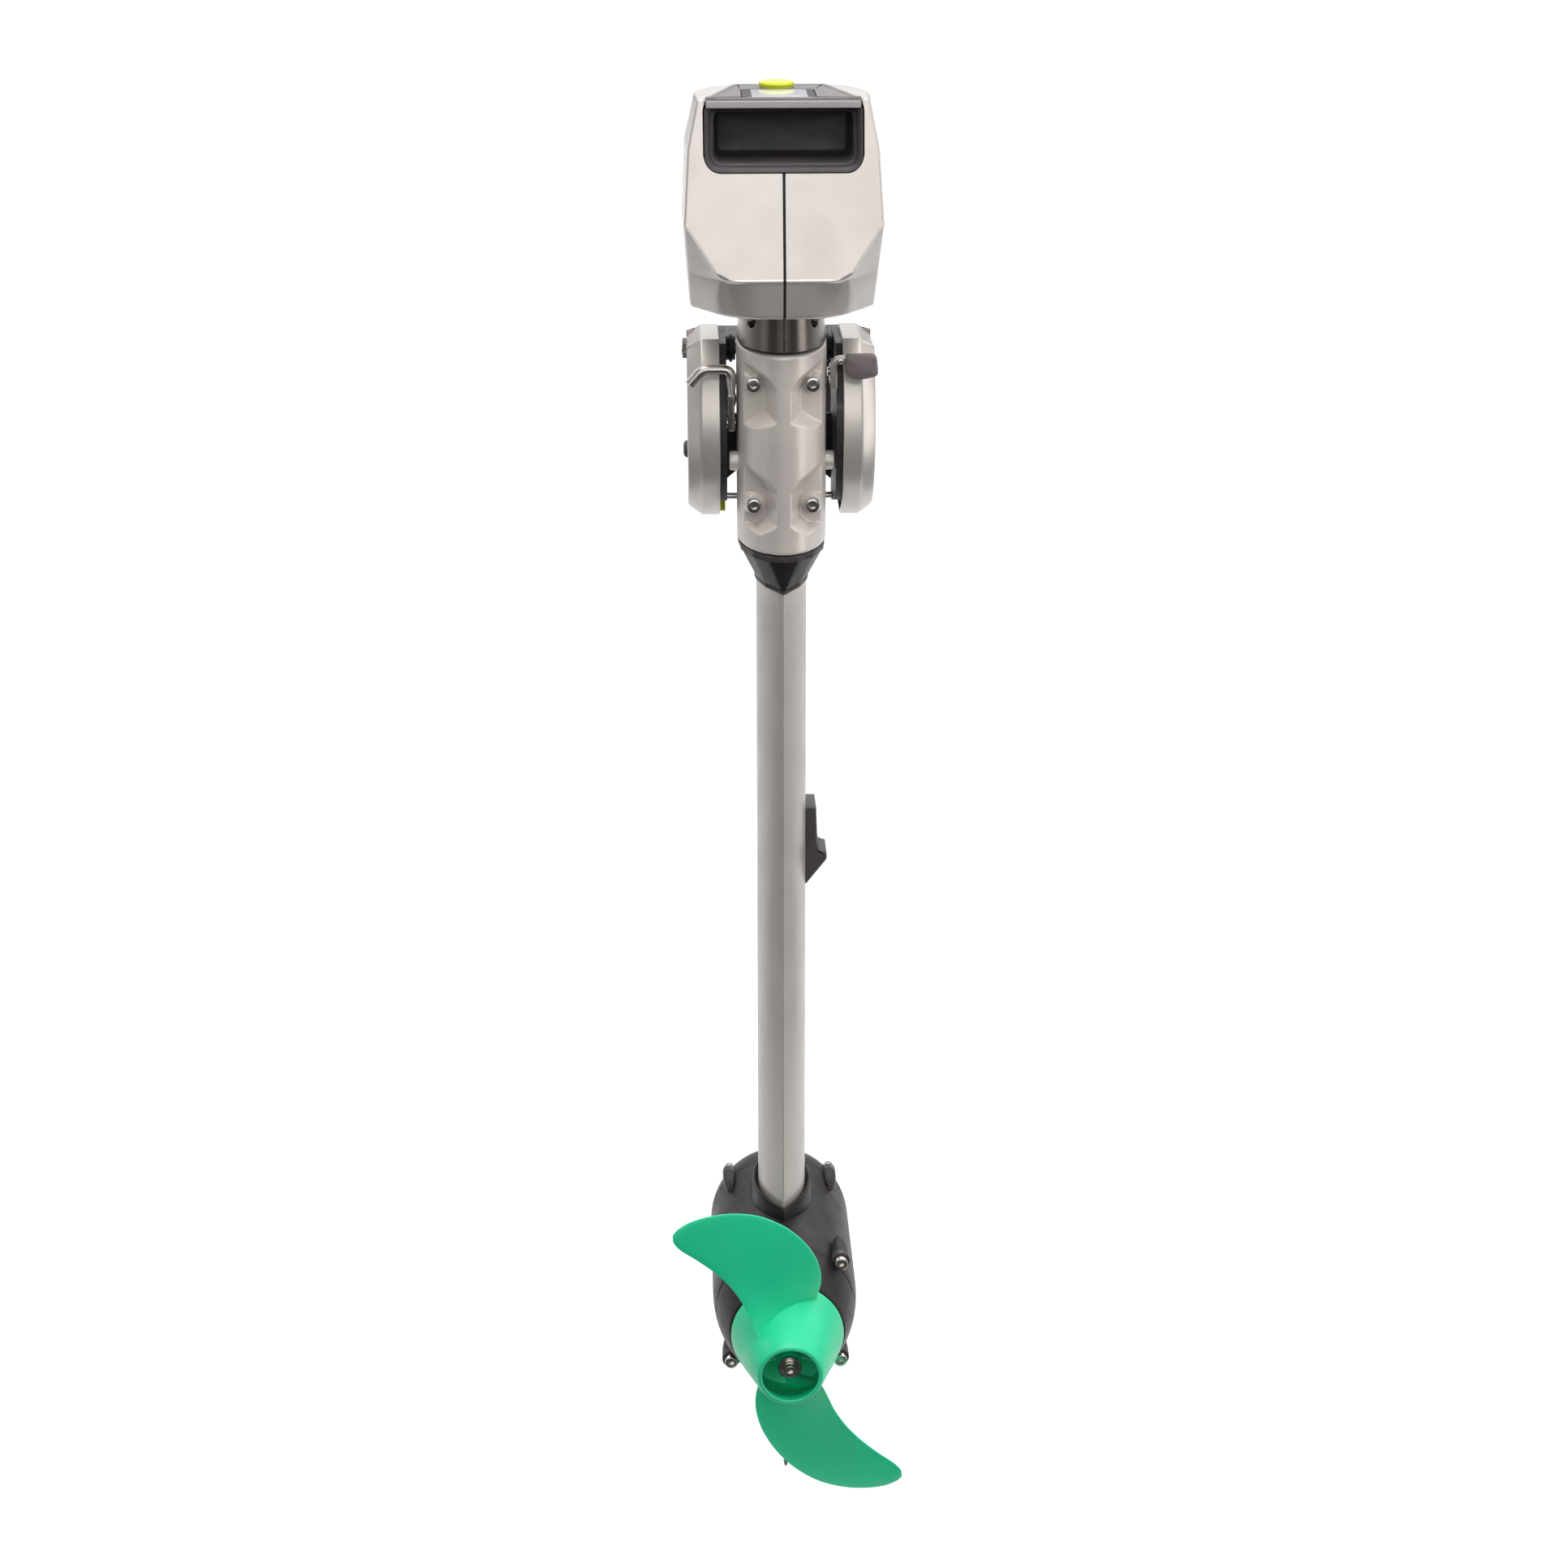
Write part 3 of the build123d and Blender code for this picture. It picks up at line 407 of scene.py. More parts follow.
class Texture(Enum):
    """How a surface was made, which sets its fine relief."""

    SPARK = "spark-eroded mould grain"
    SMOOTH = "polished mould or sprayed paint"
    BRUSHED = "fine lines of a belt or a draw die"
    CAST = "die-cast skin under powder coat"
    WOUND = "turns of enamelled wire"
    STACKED = "stacked sheets"


@dataclass(frozen=True)
class Finish:
    """A real material with its colours, gloss and relief, sizes in millimetres."""

    name: str
    slot: str
    colour: str
    shade: str
    texture: Texture
    metallic: float = 0.0
    roughness: float = 0.5
    spread: float = 0.06
    grain: float = 0.8
    relief: float = 0.03
    mottle: float = 45.0
    worn: str = ""
    worn_share: float = 0.35
    coat: float = 0.0
    along: tuple = (1.0, 1.0, 1.0)
    ior: float = 1.5

    def material(self) -> bpy.types.Material:
        """The finish as a Blender material, made once and shared."""
        found = bpy.data.materials.get(self.name)
        return found or self._build()

    def _build(self) -> bpy.types.Material:
        """Colour drifts between two shades over the mottle size, gloss follows a finer noise,
        exposed edges turn to the worn colour, and the texture gives the relief."""
        made = bpy.data.materials.new(self.name)
        made.use_nodes = True
        tree = made.node_tree
        tree.nodes.clear()
        place = add(tree, "ShaderNodeTexCoord", {}).outputs["Object"]
        cloud = add(tree, "ShaderNodeTexNoise", {
            "Vector": place, "Scale": 1000 / self.mottle, "Detail": 4.0})
        tone = add(tree, "ShaderNodeMapRange", {
            "Value": cloud.outputs["Fac"], "From Min": 0.32, "From Max": 0.68})
        colour = self._mix(tree, tone.outputs["Result"], linear(self.colour),
                           linear(self.shade))
        if self.worn:
            edge = add(tree, "ShaderNodeNewGeometry", {}).outputs["Pointiness"]
            speck = add(tree, "ShaderNodeTexNoise", {
                "Vector": place, "Scale": 1000 / WEAR_SPECK, "Detail": 3.0})
            raised = add(tree, "ShaderNodeMath", {0: speck.outputs["Fac"], 1: 0.06, 2: edge},
                         operation="MULTIPLY_ADD")
            share = add(tree, "ShaderNodeMapRange", {
                "Value": raised.outputs[0], "From Min": 0.565, "From Max": 0.64,
                "To Max": self.worn_share})
            colour = self._mix(tree, share.outputs["Result"], colour, linear(self.worn))
        fine = self._relief_height(tree, place)
        gloss = add(tree, "ShaderNodeTexNoise", {
            "Vector": place, "Scale": 1000 / (self.mottle / 3), "Detail": 5.0})
        rough = add(tree, "ShaderNodeMapRange", {
            "Value": gloss.outputs["Fac"], "From Min": 0.3, "From Max": 0.7,
            "To Min": self.roughness - self.spread, "To Max": self.roughness + self.spread})
        bump = add(tree, "ShaderNodeBump", {
            "Height": fine, "Distance": self.relief * MM, "Strength": 1.0})
        shader = add(tree, "ShaderNodeBsdfPrincipled", {
            "Base Color": colour, "Roughness": rough.outputs["Result"],
            "Normal": bump.outputs["Normal"], "Metallic": self.metallic,
            "Coat Weight": self.coat, "Coat Roughness": COAT_ROUGHNESS, "IOR": self.ior})
        add(tree, "ShaderNodeOutputMaterial", {"Surface": shader.outputs["BSDF"]})
        return made

    @staticmethod
    def _mix(tree: bpy.types.NodeTree, share: bpy.types.NodeSocket,
             low: "bpy.types.NodeSocket | tuple", high: tuple) -> bpy.types.NodeSocket:
        """Colour between low and high by share."""
        return add(tree, "ShaderNodeMix", {0: share, 6: low, 7: high},
                   data_type="RGBA").outputs[2]

    def _relief_height(self, tree: bpy.types.NodeTree,
                       place: bpy.types.NodeSocket) -> bpy.types.NodeSocket:
        """Height of the fine texture, from the way the surface was made."""
        if self.texture in (Texture.WOUND, Texture.STACKED):
            wave = add(tree, "ShaderNodeTexWave", {
                "Vector": place, "Scale": 1000 / self.grain / 20, "Distortion": 0.4},
                bands_direction="Y")
            return wave.outputs["Fac"]
        spot = add(tree, "ShaderNodeMapping", {"Vector": place, "Scale": self.along})
        detail = {Texture.SPARK: 6.0, Texture.SMOOTH: 2.0, Texture.BRUSHED: 8.0,
                  Texture.CAST: 5.0}[self.texture]
        noise = add(tree, "ShaderNodeTexNoise", {
            "Vector": spot.outputs["Vector"], "Scale": 1000 / self.grain,
            "Detail": detail, "Roughness": 0.6})
        return noise.outputs["Fac"]


# Grain of 0.1 to 0.3 mm is drawn at 0.8 to 1.6 mm, because a finer one can't be seen.
# Sprayed metallic paint on moulded nylon: warm grey, soft sheen from its clear coat.
GREY_PAINT = Finish("metallic_grey_spray_paint", "shell_grey", "#C4BDB8", "#BCB5B0",
                    Texture.SMOOTH, metallic=0.45, roughness=0.36, spread=0.04, grain=1.6,
                    relief=0.008, mottle=70, worn="#D6D2CC", worn_share=0.5, coat=0.25)
# Powder-coated aluminium: the same grey a little duller, with orange peel.
GREY_POWDER = Finish("powder_coated_aluminium_grey", "cast_grey", "#D4CCC6", "#C2BAB5",
                     Texture.CAST, metallic=0.25, roughness=0.42, grain=2.4,
                     relief=0.012, mottle=60, worn="#D8D4CE", worn_share=0.55, coat=0.15)
# The leg's extrusion under a darker coat of the same grey.
GREY_EXTRUSION = Finish("coated_extrusion_grey", "cast_grey", "#B4AEA8", "#ABA59F",
                        Texture.BRUSHED, metallic=0.3, roughness=0.4, spread=0.05, grain=2.0,
                        relief=0.006, mottle=60, worn="#D8D4CE", worn_share=0.5, coat=0.1,
                        along=(1, 1, 0.05))
# Glass-filled nylon off a spark-eroded mould: dark, dry grain that scuffs pale.
CHARCOAL = Finish("spark_grained_nylon_charcoal", "charcoal", "#454043", "#3B3739",
                  Texture.SPARK, spread=0.07, grain=0.9,
                  mottle=35, worn="#7D787A")
# The same nylon painted darker for the handle tub: painted shade, the recess's shadow laid into
# its colour.
TUB_SHADE_BLACK = Finish("spark_grained_nylon_painted_shade", "charcoal", "#393436", "#302C2E",
                   Texture.SPARK, roughness=0.55, grain=0.9, relief=0.015,
                   mottle=35, worn="#5D5759", worn_share=0.3, ior=1.42)
# Moulded handle bar with a satin skin that catches the light from above; its paler grey is painted
# highlight, the overhead light on its top.
BAR_HIGHLIGHT_GREY = Finish("moulded_abs_painted_highlight", "charcoal", "#8B8487", "#827B7F",
                   Texture.SPARK, roughness=0.42, spread=0.05, grain=0.9, relief=0.012,
                   mottle=30, worn="#B9B3B5")
# Deck panel: mid-grey moulded ABS with a fine matt grain.
DECK_GREY = Finish("matt_moulded_abs_grey", "charcoal", "#6F696A", "#676163",
                   Texture.SPARK, roughness=0.55, spread=0.05, grain=0.9, relief=0.02,
                   mottle=30, worn="#8F898A")
# Die-cast bracket arms under black powder coat: orange peel and rubbed edges.
BLACK_CAST = Finish("black_powder_coated_casting", "charcoal", "#2B292A", "#242223",
                    Texture.CAST, roughness=0.48, spread=0.08, grain=1.6,
                    mottle=40, worn="#6A6664", worn_share=0.4, ior=1.4)
# Smoke-chromed plastic: mirror-like, dark in its middle, fine drawing lines.
SMOKE_CHROME = Finish("smoke_chromed_abs", "neck_gloss", "#6E6863", "#625C58",
                      Texture.BRUSHED, metallic=0.9, roughness=0.24, spread=0.04,
                      grain=1.5, relief=0.004, mottle=50, along=(1, 1, 0.03))
# Hard-anodised motor pod: dark, satin, a little brown.
POD_BLACK = Finish("hard_anodised_aluminium_black", "pod_black", "#241F20", "#2A2627",
                   Texture.CAST, roughness=0.43, grain=1.4, relief=0.01,
                   mottle=40, worn="#8B8586", worn_share=0.4, ior=1.27)
# Impact-modified nylon propeller: saturated green, waxy skin, paler worn edges.
GREEN_NYLON = Finish("moulded_nylon_green", "prop_green", "#16CB93", "#15C18B",
                     Texture.SPARK, roughness=0.46, grain=1.2, relief=0.014,
                     mottle=55, worn="#63DBB8", worn_share=0.55, ior=1.53)
# Dyed acetal: bright lime with a soft polish.
LIME = Finish("moulded_acetal_lime", "lime", "#D6E22C", "#CBD828", Texture.SMOOTH,
              roughness=0.36, spread=0.04, grain=1.4, relief=0.006, mottle=20,
              worn="#EAF27A")
# Cold-headed stainless steel: bright, with drawn lines.
STAINLESS = Finish("cold_headed_stainless_steel", "stainless", "#D2CEC9", "#BDB8B3",
                   Texture.BRUSHED, metallic=1.0, roughness=0.22,
                   relief=0.002, mottle=12, along=(1, 0.06, 1))
# Black-oxidised steel of the axle's nut.
BLACK_OXIDE = Finish("black_oxidised_steel", "stainless", "#3A3636", "#2E2B2B",
                     Texture.CAST, metallic=1.0, roughness=0.42, grain=1.0,
                     relief=0.006, mottle=12, worn="#8A8583", worn_share=0.5)
# Bent and tumbled stainless bar.
BRIGHT_BAR = Finish("tumbled_stainless_bar", "stainless", "#CBC4BE", "#B4ADA8",
                    Texture.BRUSHED, metallic=1.0, roughness=0.32, spread=0.04, grain=1.0,
                    relief=0.001, mottle=15, along=(0.3, 1, 0.3))
# Drawn and anodised tube: pale, lines along its length.
DRAWN_TUBE = Finish("drawn_anodised_aluminium", "tube_alloy", "#BFBBB6", "#AFABA6",
                    Texture.BRUSHED, metallic=1.0, roughness=0.3, spread=0.05, grain=1.0,
                    relief=0.006, mottle=30, along=(1, 1, 0.03))
# Soft elastomer grip: brown-grey, matt and a little dusty.
GRIP_RUBBER = Finish("moulded_elastomer_grey", "grip_rubber", "#776D6D", "#6D6464",
                     Texture.SPARK, roughness=0.55, grain=1.1,
                     mottle=18, worn="#9A9090", worn_share=0.4)
# Black elastomer for pads, seal and cable sheath.
BLACK_RUBBER = Finish("moulded_elastomer_black", "grip_rubber", "#343132", "#2C292A",
                      Texture.SPARK, roughness=0.6, grain=1.2, relief=0.05,
                      mottle=18, worn="#5F5B5C")
# Boot round the leg's foot: black elastomer with a polished skin.
BOOT_BLACK = Finish("polished_elastomer_black", "grip_rubber", "#100F0F", "#171515",
                    Texture.SMOOTH, roughness=0.4, grain=1.5, relief=0.006,
                    mottle=25, worn="#3E3A3A", ior=1.3)
# Chemically toughened glass over a dark mask.
DISPLAY_GLASS = Finish("toughened_glass_smoked", "display_glass", "#26262A", "#222226",
                       Texture.SMOOTH, roughness=0.1, spread=0.03, grain=3.0, relief=0.001,
                       mottle=40, coat=1.0, ior=1.52)
# Pale plate under the display glass, pale and even: painted reflection, standing in for the white
# reflection across the display's middle.
DISPLAY_REFLECTION = Finish("painted_display_reflection", "display_glass", "#DCDAE2", "#CFCDD6", Texture.SMOOTH,
             roughness=0.16, spread=0.03, grain=3.0, relief=0.001, mottle=30, coat=0.8)
# Dark strip that shuts the groove between the head's shells: painted shade, standing in for the
# shadow deep in the seam.
SEAM_SHADE = Finish("painted_seam_shade_black", "grip_rubber", "#232122", "#1C1A1B",
                   Texture.SPARK, roughness=0.7, spread=0.05, grain=1.0, relief=0.05,
                   mottle=10, worn="#3A3839")
# Black silicone key.
BUTTON = Finish("silicone_key_black", "button_black", "#1F1D1E", "#262324", Texture.SPARK,
                roughness=0.55, spread=0.05, relief=0.02, mottle=12,
                worn="#4A4748")
# Battery case: moulded black polycarbonate.
CASE_BLACK = Finish("moulded_polycarbonate_black", "battery_case", "#2A2A2C", "#232325",
                    Texture.SPARK, grain=1.0, relief=0.02,
                    mottle=30, worn="#5A5A5C")
# Stack of electrical steel sheets.
CORE = Finish("laminated_electrical_steel", "core_steel", "#8C8A88", "#7A7876",
              Texture.STACKED, metallic=0.9, roughness=0.45, grain=1.0,
              relief=0.05, mottle=15)
# Enamelled copper turns.
WINDING = Finish("enamelled_copper_wire", "copper", "#B5653A", "#9C5430", Texture.WOUND,
                 metallic=0.9, roughness=0.35, spread=0.05, grain=1.2, relief=0.2,
                 mottle=10)


# ---- head ------------------------------------------------------------------
@dataclass
class Head:
    """Motor head: two painted shells, handle tub, deck with display, stop key."""

    low: float = 51.0
    high: float = 198.0
    band: float = 78.0           # top of the upright lower band
    crease: float = 84.0         # where the corner crease starts to climb
    shoulder: float = 115.0      # where it reaches the side
    brow: float = 165.0          # where the sides start to draw in
    follow: float = 118.0        # above it the rows follow the tub's lower edge
    step: float = 0.5            # between the heights of the plan outlines
    back: float = 75.0           # distance aft of the lower band
    lean: float = 28.0 / 120.0   # how much the back leans forward per unit of height
    undercut: float = 0.11       # how much the lower band leans in per unit of height
    bead: float = 0.9            # height of the raised edge along the creases
    seam: float = 1.0            # half of the groove between the shells
    top_round: float = 3.0
    tub_half: float = 55.0
    tub_low: float = 149.0
    tub_high: float = 193.3
    tub_corner: float = 12.0
    deck_z: float = 198.6
    heights: np.ndarray = field(init=False)
    path: np.ndarray = field(init=False)
    split: int = field(init=False)

    def __post_init__(self) -> None:
        """Work out the plan outline at closely spaced heights."""
        self.heights = np.arange(self.low, self.high + self.step / 2, self.step)
        self.path, self.split = self._outlines(self.heights)

    def back_at(self, z: np.ndarray) -> np.ndarray:
        """Distance aft of the back: it leans out up to the band's top and forward above it;
        a bell-shaped bead stands on the edge between them."""
        under = self.back - (self.band - z) * self.undercut
        leaning = self.back - (z - self.band) * self.lean
        return smooth_min(under, leaning, 0.6) + self.bead * np.exp(-(z - self.band) ** 2)

    def _outlines(self, z: np.ndarray) -> tuple:
        """Half outlines by height, from the back seam round the side to the front seam: six
        corners slide along straight or kinked lines with height and are rounded in plan.

        Args:
            z: heights (rows,).

        Returns:
            Path (rows, points, 2) and the column of the tub's side edge.
        """
        back = self.back_at(z)
        climb = np.clip((z - self.low) / (self.crease - self.low), 0, 1)
        slide = np.clip((z - self.crease) / (self.shoulder - self.crease), 0, 1)
        rise = np.clip((z - self.low) / (self.shoulder - self.low), 0, 1)
        above = z > self.shoulder
        side = np.interp(z, (self.shoulder, self.brow, self.high), (69, 66, 59))
        cx = np.where(above, side, 65 + 4 * rise)
        cs = np.where(above, back - 0.9, 22 + 43.5 * rise)
        emerge = np.clip((z - self.band) / (self.crease - self.band), 0, 1)
        bx = np.where(above, cx - 1.2, 43 + 4.5 * emerge + 20.5 * slide)
        plane = self.back - (z - self.band) * self.lean
        bs = np.where(z < self.crease, 57 + (plane - 57 - 0.5 * (1 - climb)) * climb ** 0.9, back)
        knots = (self.low, self.band, self.shoulder, self.brow, self.high)
        fore = [(np.interp(z, knots, xs), np.interp(z, knots, ss)) for xs, ss in (
            ((66, 68.5, 71, 69, 62), (-15, -20, -20, -20, -5)),
            ((52, 55, 58, 54, 44), (-42, -50, -63, -74, -34)),
            ((30, 30, 30, 28, 25), (-48, -57, -70, -84, -40)))]
        start = (np.full_like(z, self.seam), back)
        spread = 9 * np.clip((z - 68) / (self.band - 68), 0, 1) ** 2 + 12 * emerge ** 0.6
        inner = (25 + spread * np.clip((122 - z) / (122 - self.crease), 0, 1), back)
        last = (np.full_like(z, self.seam), fore[-1][1])
        corners = [start, inner, (bx, bs), (cx, cs), *fore, last]
        corners = np.stack([np.stack(c, -1) for c in corners], 1)
        reach = np.stack([9 - 8 * emerge, 0.9 + 13 * (1 - climb),
                          np.where(above, 1.0, 2.5), np.full_like(z, 20.0),
                          np.full_like(z, 14.0), np.full_like(z, 9.0)], 1)
        share = np.clip((self.tub_half - 26) / (bx - 1.2 - 26), 0.1, 0.9)
        under = np.interp(z, (self.crease, self.tub_low), (0.8, share[z >= self.tub_low][0]))
        share = np.where(z < self.tub_low, under, share)
        first = share[:, None] * np.linspace(0, 1, 26)[None, 1:]
        second = share[:, None] + (1 - share[:, None]) * np.linspace(0, 1, 8)[None, 1:-1]
        runs = [18, np.concatenate([first, second], 1), 10, 26, 14, 10, 8]
        steps = 7
        path = rounded_path(corners, reach, steps, runs)
        away = np.linalg.norm(path - corners[:, 2:3], axis=-1)
        lift = self.bead * emerge[:, None] * (z < self.shoulder)[:, None] * np.exp(-away ** 2)
        path += lift[..., None] * np.array([0.5, 0.86])
        return path, 1 + 18 + steps + first.shape[1] - 1

    def at(self, columns: np.ndarray, z: np.ndarray) -> np.ndarray:
        """Points (rows, columns, 3) of the outer skin at each column's own heights z."""
        x = [np.interp(z[:, k], self.heights, self.path[:, c, 0]) for k, c in enumerate(columns)]
        s = [np.interp(z[:, k], self.heights, self.path[:, c, 1]) for k, c in enumerate(columns)]
        return aft(np.stack(x, 1), np.stack(s, 1), z)

    def shell(self) -> Skin:
        """Starboard shell: back with the tub's opening, side and front, top and bottom."""
        tub_row = int(round((155 - self.low) / self.step))
        left = np.arange(self.split + 1)
        across = self.path[tub_row, left, 0]
        into = np.clip(across - (self.tub_half - self.tub_corner), 0, self.tub_corner)
        rim = self.tub_low + self.tub_corner - np.sqrt(self.tub_corner ** 2 - into ** 2)
        start = self.low + 2
        near = self.band + np.linspace(-3, 3, 17)
        level = np.concatenate([np.linspace(start, near[0], 14)[:-1], near,
                                np.linspace(near[-1], self.follow, 32)[1:]])
        rows = np.linspace(0, 1, 40)[1:, None]
        fixed = level[:, None] * np.ones(len(left))
        climb = self.follow + rows * (rim[None] - self.follow)
        aft_face = self.at(left, np.concatenate([fixed, climb]))
        right = np.arange(self.split, self.path.shape[1])
        lower = np.concatenate([level[:, None], climb[:, -1:]])
        upper = np.linspace(rim[-1], self.high - self.top_round, 34)[1:, None]
        side_z = np.concatenate([lower, upper]) * np.ones(len(right))
        side = self.at(right, side_z)
        skin = Skin().grid(aft_face).grid(side)
        lip = np.concatenate([aft_face[-1], side[len(lower):, 0]])
        skin.grid(np.stack([lip + (0, d, 0) for d in (0, 2, 4, 6)]))
        for edge, inward in ((aft_face[:, 0], 1), (side[:, -1], -1)):
            skin.grid(np.stack([edge + (0, inward * d, 0) for d in (0, 2, 4)]))
        self._top(skin, side[-1])
        self._bottom(skin, np.concatenate([aft_face[0], side[0, 1:]]))
        return skin

    def _top(self, skin: Skin, rim: np.ndarray) -> None:
        """Roll the top edge over a quarter circle and run in to the deck's outline."""
        centre = np.array([0, STEER_Y - 10, 0])
        turn = np.linspace(0, math.pi / 2, 6)[1:]
        rows = [rim]
        for t in turn:
            inward = self.top_round * (1 - math.cos(t))
            point = rim + (centre - rim) * (inward / 62)
            point[:, 2] = self.high - self.top_round * (1 - math.sin(t))
            rows.append(point)
        share = np.linspace(0, 1, len(rim))
        edge = np.array([(55, 47.5), (52.5, 44), (33.5, -37.5), (self.seam, -37.5)])
        length = np.concatenate([[0], np.cumsum(np.linalg.norm(np.diff(edge, axis=0), axis=1))])
        x = np.interp(share ** 1.15 * length[-1], length, edge[:, 0])
        s = np.interp(share ** 1.15 * length[-1], length, edge[:, 1])
        inner = aft(x, s, self.high)
        rows += [rows[-1] * (1 - f) + inner * f for f in (0.5, 1.0)]
        rows.append(inner - (0, 0, 4))
        skin.grid(np.stack(rows))

    def _bottom(self, skin: Skin, rim: np.ndarray) -> None:
        """Roll the bottom edge under and run in to the neck's oval."""
        angle = np.arctan2(rim[:, 0], STEER_Y - rim[:, 1])
        depth = np.where(np.cos(angle) > 0, 52.0, 34.0)
        radius = 1 / np.sqrt((np.sin(angle) / 28) ** 2 + (np.cos(angle) / depth) ** 2)
        inner = aft(np.maximum(radius * np.sin(angle), self.seam), radius * np.cos(angle),
                    self.low)
        turned_under = rim + (inner - rim) * 0.02
        turned_under[:, 2] = self.low + 0.6
        flat = rim + (inner - rim) * 0.06
        flat[:, 2] = self.low
        skin.grid(np.stack([rim, turned_under, flat, inner]))

    def seam_shade_strip(self) -> Skin:
        """Dark strip in the bottom of the groove between the shells, behind and in front: painted
        shade for the seam's shadow.
        """
        skin = Skin()
        for column, sign in ((0, -1), (-1, 1)):
            reach = self.high - 4 if column else self.tub_low
            z = np.linspace(self.low + 1, reach, 60)
            s = np.interp(z, self.heights, self.path[:, column, 1]) + sign * 2.6
            across = np.array([-2.4, -1.2, 0, 1.2, 2.4])
            skin.grid(aft(across[None], s[:, None], z[:, None]))
        return skin

    def tub(self) -> Skin:
        """Handle tub: loops of a rounded rectangle that step in as they go deeper: bevelled
        frame, inner lip, walls with draft, and a back wall with a wide fillet."""
        half, low, high = self.tub_half - 0.4, self.tub_low + 0.4, self.tub_high

        def loop(inset: float, depth: float, flat: float) -> np.ndarray:
            """Rectangle inset from the opening, at a depth behind the leaning face."""
            corner = max(self.tub_corner - inset * 0.8, 3.0)
            x1, z0, z1 = half - inset, low + inset, high - inset * 0.7
            points = rounded_path(
                np.array([[(-x1, z0), (x1, z0), (x1, z1), (-x1, z1)]], float),
                np.array([[corner, corner, 4.0, 4.0]]) * 1.05, 9, [24, 12, 24, 12], True)[0]
            face = self.back_at(points[:, 1]) - depth
            deep = self.back_at(np.array([(low + high) / 2]))[0] - depth
            return aft(points[:, 0], face * (1 - flat) + deep * flat, points[:, 1])

        steps = [(0, 5.0, 0), (0, 1.0, 0), (0.5, 0.35, 0), (1.6, 0.6, 0), (3.4, 2.2, 0),
                 (4.0, 3.4, 0), (4.2, 6.0, 0), (5.8, 6.8, 0), (6.6, 8.0, 0.1),
                 (7.2, 20.0, 0.6), (7.8, 31.0, 1), (8.6, 35.0, 1), (10.0, 37.4, 1),
                 (13.0, 38.4, 1)]
        loops = [loop(*step) for step in steps]
        return Skin().grid(np.stack(loops), wrap=True).disc(loops[-1])

    def handle_bar(self) -> Skin:
        """Bar across the top of the tub: a rounded section carried from side to side."""
        z0, z1 = self.tub_high - 1.6, self.tub_high + 3.6
        foot, head = self.back_at(np.array([z0, z1])) + 0.9
        section = ring([(head - 8, z0 + 1.2), (foot, z0), (head, z1), (head - 8, z1)], 1.2, 6, 4)
        across = (-1, -0.995, -0.985, 0.985, 0.995, 1)
        size = (0.6, 0.88, 1, 1, 0.88, 0.6)
        centre = section.mean(0)
        loops = []
        for share, scale in zip(across, size):
            part = centre + (section - centre) * scale
            loops.append(aft(np.full(len(part), share * (self.tub_half - 1.6)), part[:, 0],
                             part[:, 1]))
        return Skin().closed(loops)

    def deck(self) -> Skin:
        """Deck panel: a tapered plate with rolled edges round the display's recess."""
        outline = ring([(-54.5, 46.6), (54.5, 46.6), (53.5, 43.5), (33, -37), (-33, -37),
                        (-53.5, 43.5)], 2.5, 6, 14)
        window = ring([(-28.6, 41.6), (23.6, 41.6), (23.6, 10), (23.6, -8.6), (-28.6, -8.6),
                       (-28.6, 10)], 2.0, 6, 14)
        top = self.deck_z
        loops = [aft(*shrink(outline, inset).T, z) for inset, z in
                 ((0, top - 5), (0, top - 1.0), (0.3, top - 0.3), (1.0, top))]
        loops += [aft(*shrink(outline, inset).T, z) for inset, z in
                  ((4.0, top), (4.4, top - 0.5), (5.2, top - 0.5))]
        loops += [aft(*shrink(window, -1.2).T, top - 0.5), aft(*window.T, top - 0.5),
                  aft(*window.T, top - 1.6)]
        return Skin().grid(np.stack(loops), wrap=True)

    @staticmethod
    def plate(corners: list, low: float, high: float, reach: float) -> Skin:
        """Flat rounded plate between two heights, with a broken upper edge."""
        outline = ring(corners, reach, 6, 4)
        edge = 0.25
        return Skin().closed([aft(*outline.T, low), aft(*outline.T, high - edge),
                              aft(*shrink(outline, edge).T, high)])

    def key(self) -> Skin:
        """Magnetic stop key: a domed disc with a finger groove round its flank."""
        low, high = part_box("stop_key")
        radius = (high.x - low.x) / 2 / MM
        z0, z1 = low.z / MM, high.z / MM
        profile = [(z0, 0.6 * radius), (z0, radius - 1.2), (z0 + 1.2, radius - 1.2),
                   (z0 + 1.7, radius - 0.4), (z0 + 2.4, radius), (z1 - 0.9, radius),
                   (z1 - 0.35, radius - 0.3), (z1, radius - 1.1), (z1 - 0.15, radius - 2.6),
                   (z1 - 0.7, radius - 4.0), (z1 - 0.75, 2.0)]
        origin = middle("stop_key") * (1, 1, 0)
        return Skin().closed(turned(np.array(profile), origin, (0, 0, 1), 72))

    def build(self) -> None:
        """Make and dress every piece of the head."""
        shell = self.shell()
        for side, skin in (("right", shell), ("left", shell.mirrored())):
            name = f"head_shell_{side}"
            Piece(name + "_painted", "steering", (name,), sharp=60).make(skin, GREY_PAINT)
        # Dark strip in the seam: painted shade.
        Piece("seam_painted_shade", "steering", (), wall=0.6).make(self.seam_shade_strip(), SEAM_SHADE)
        # Tub in the darker nylon: painted shade in the recess.
        Piece("handle_tub", "steering", ("handle_liner",), wall=1.0, sharp=28).make(
            self.tub(), TUB_SHADE_BLACK)
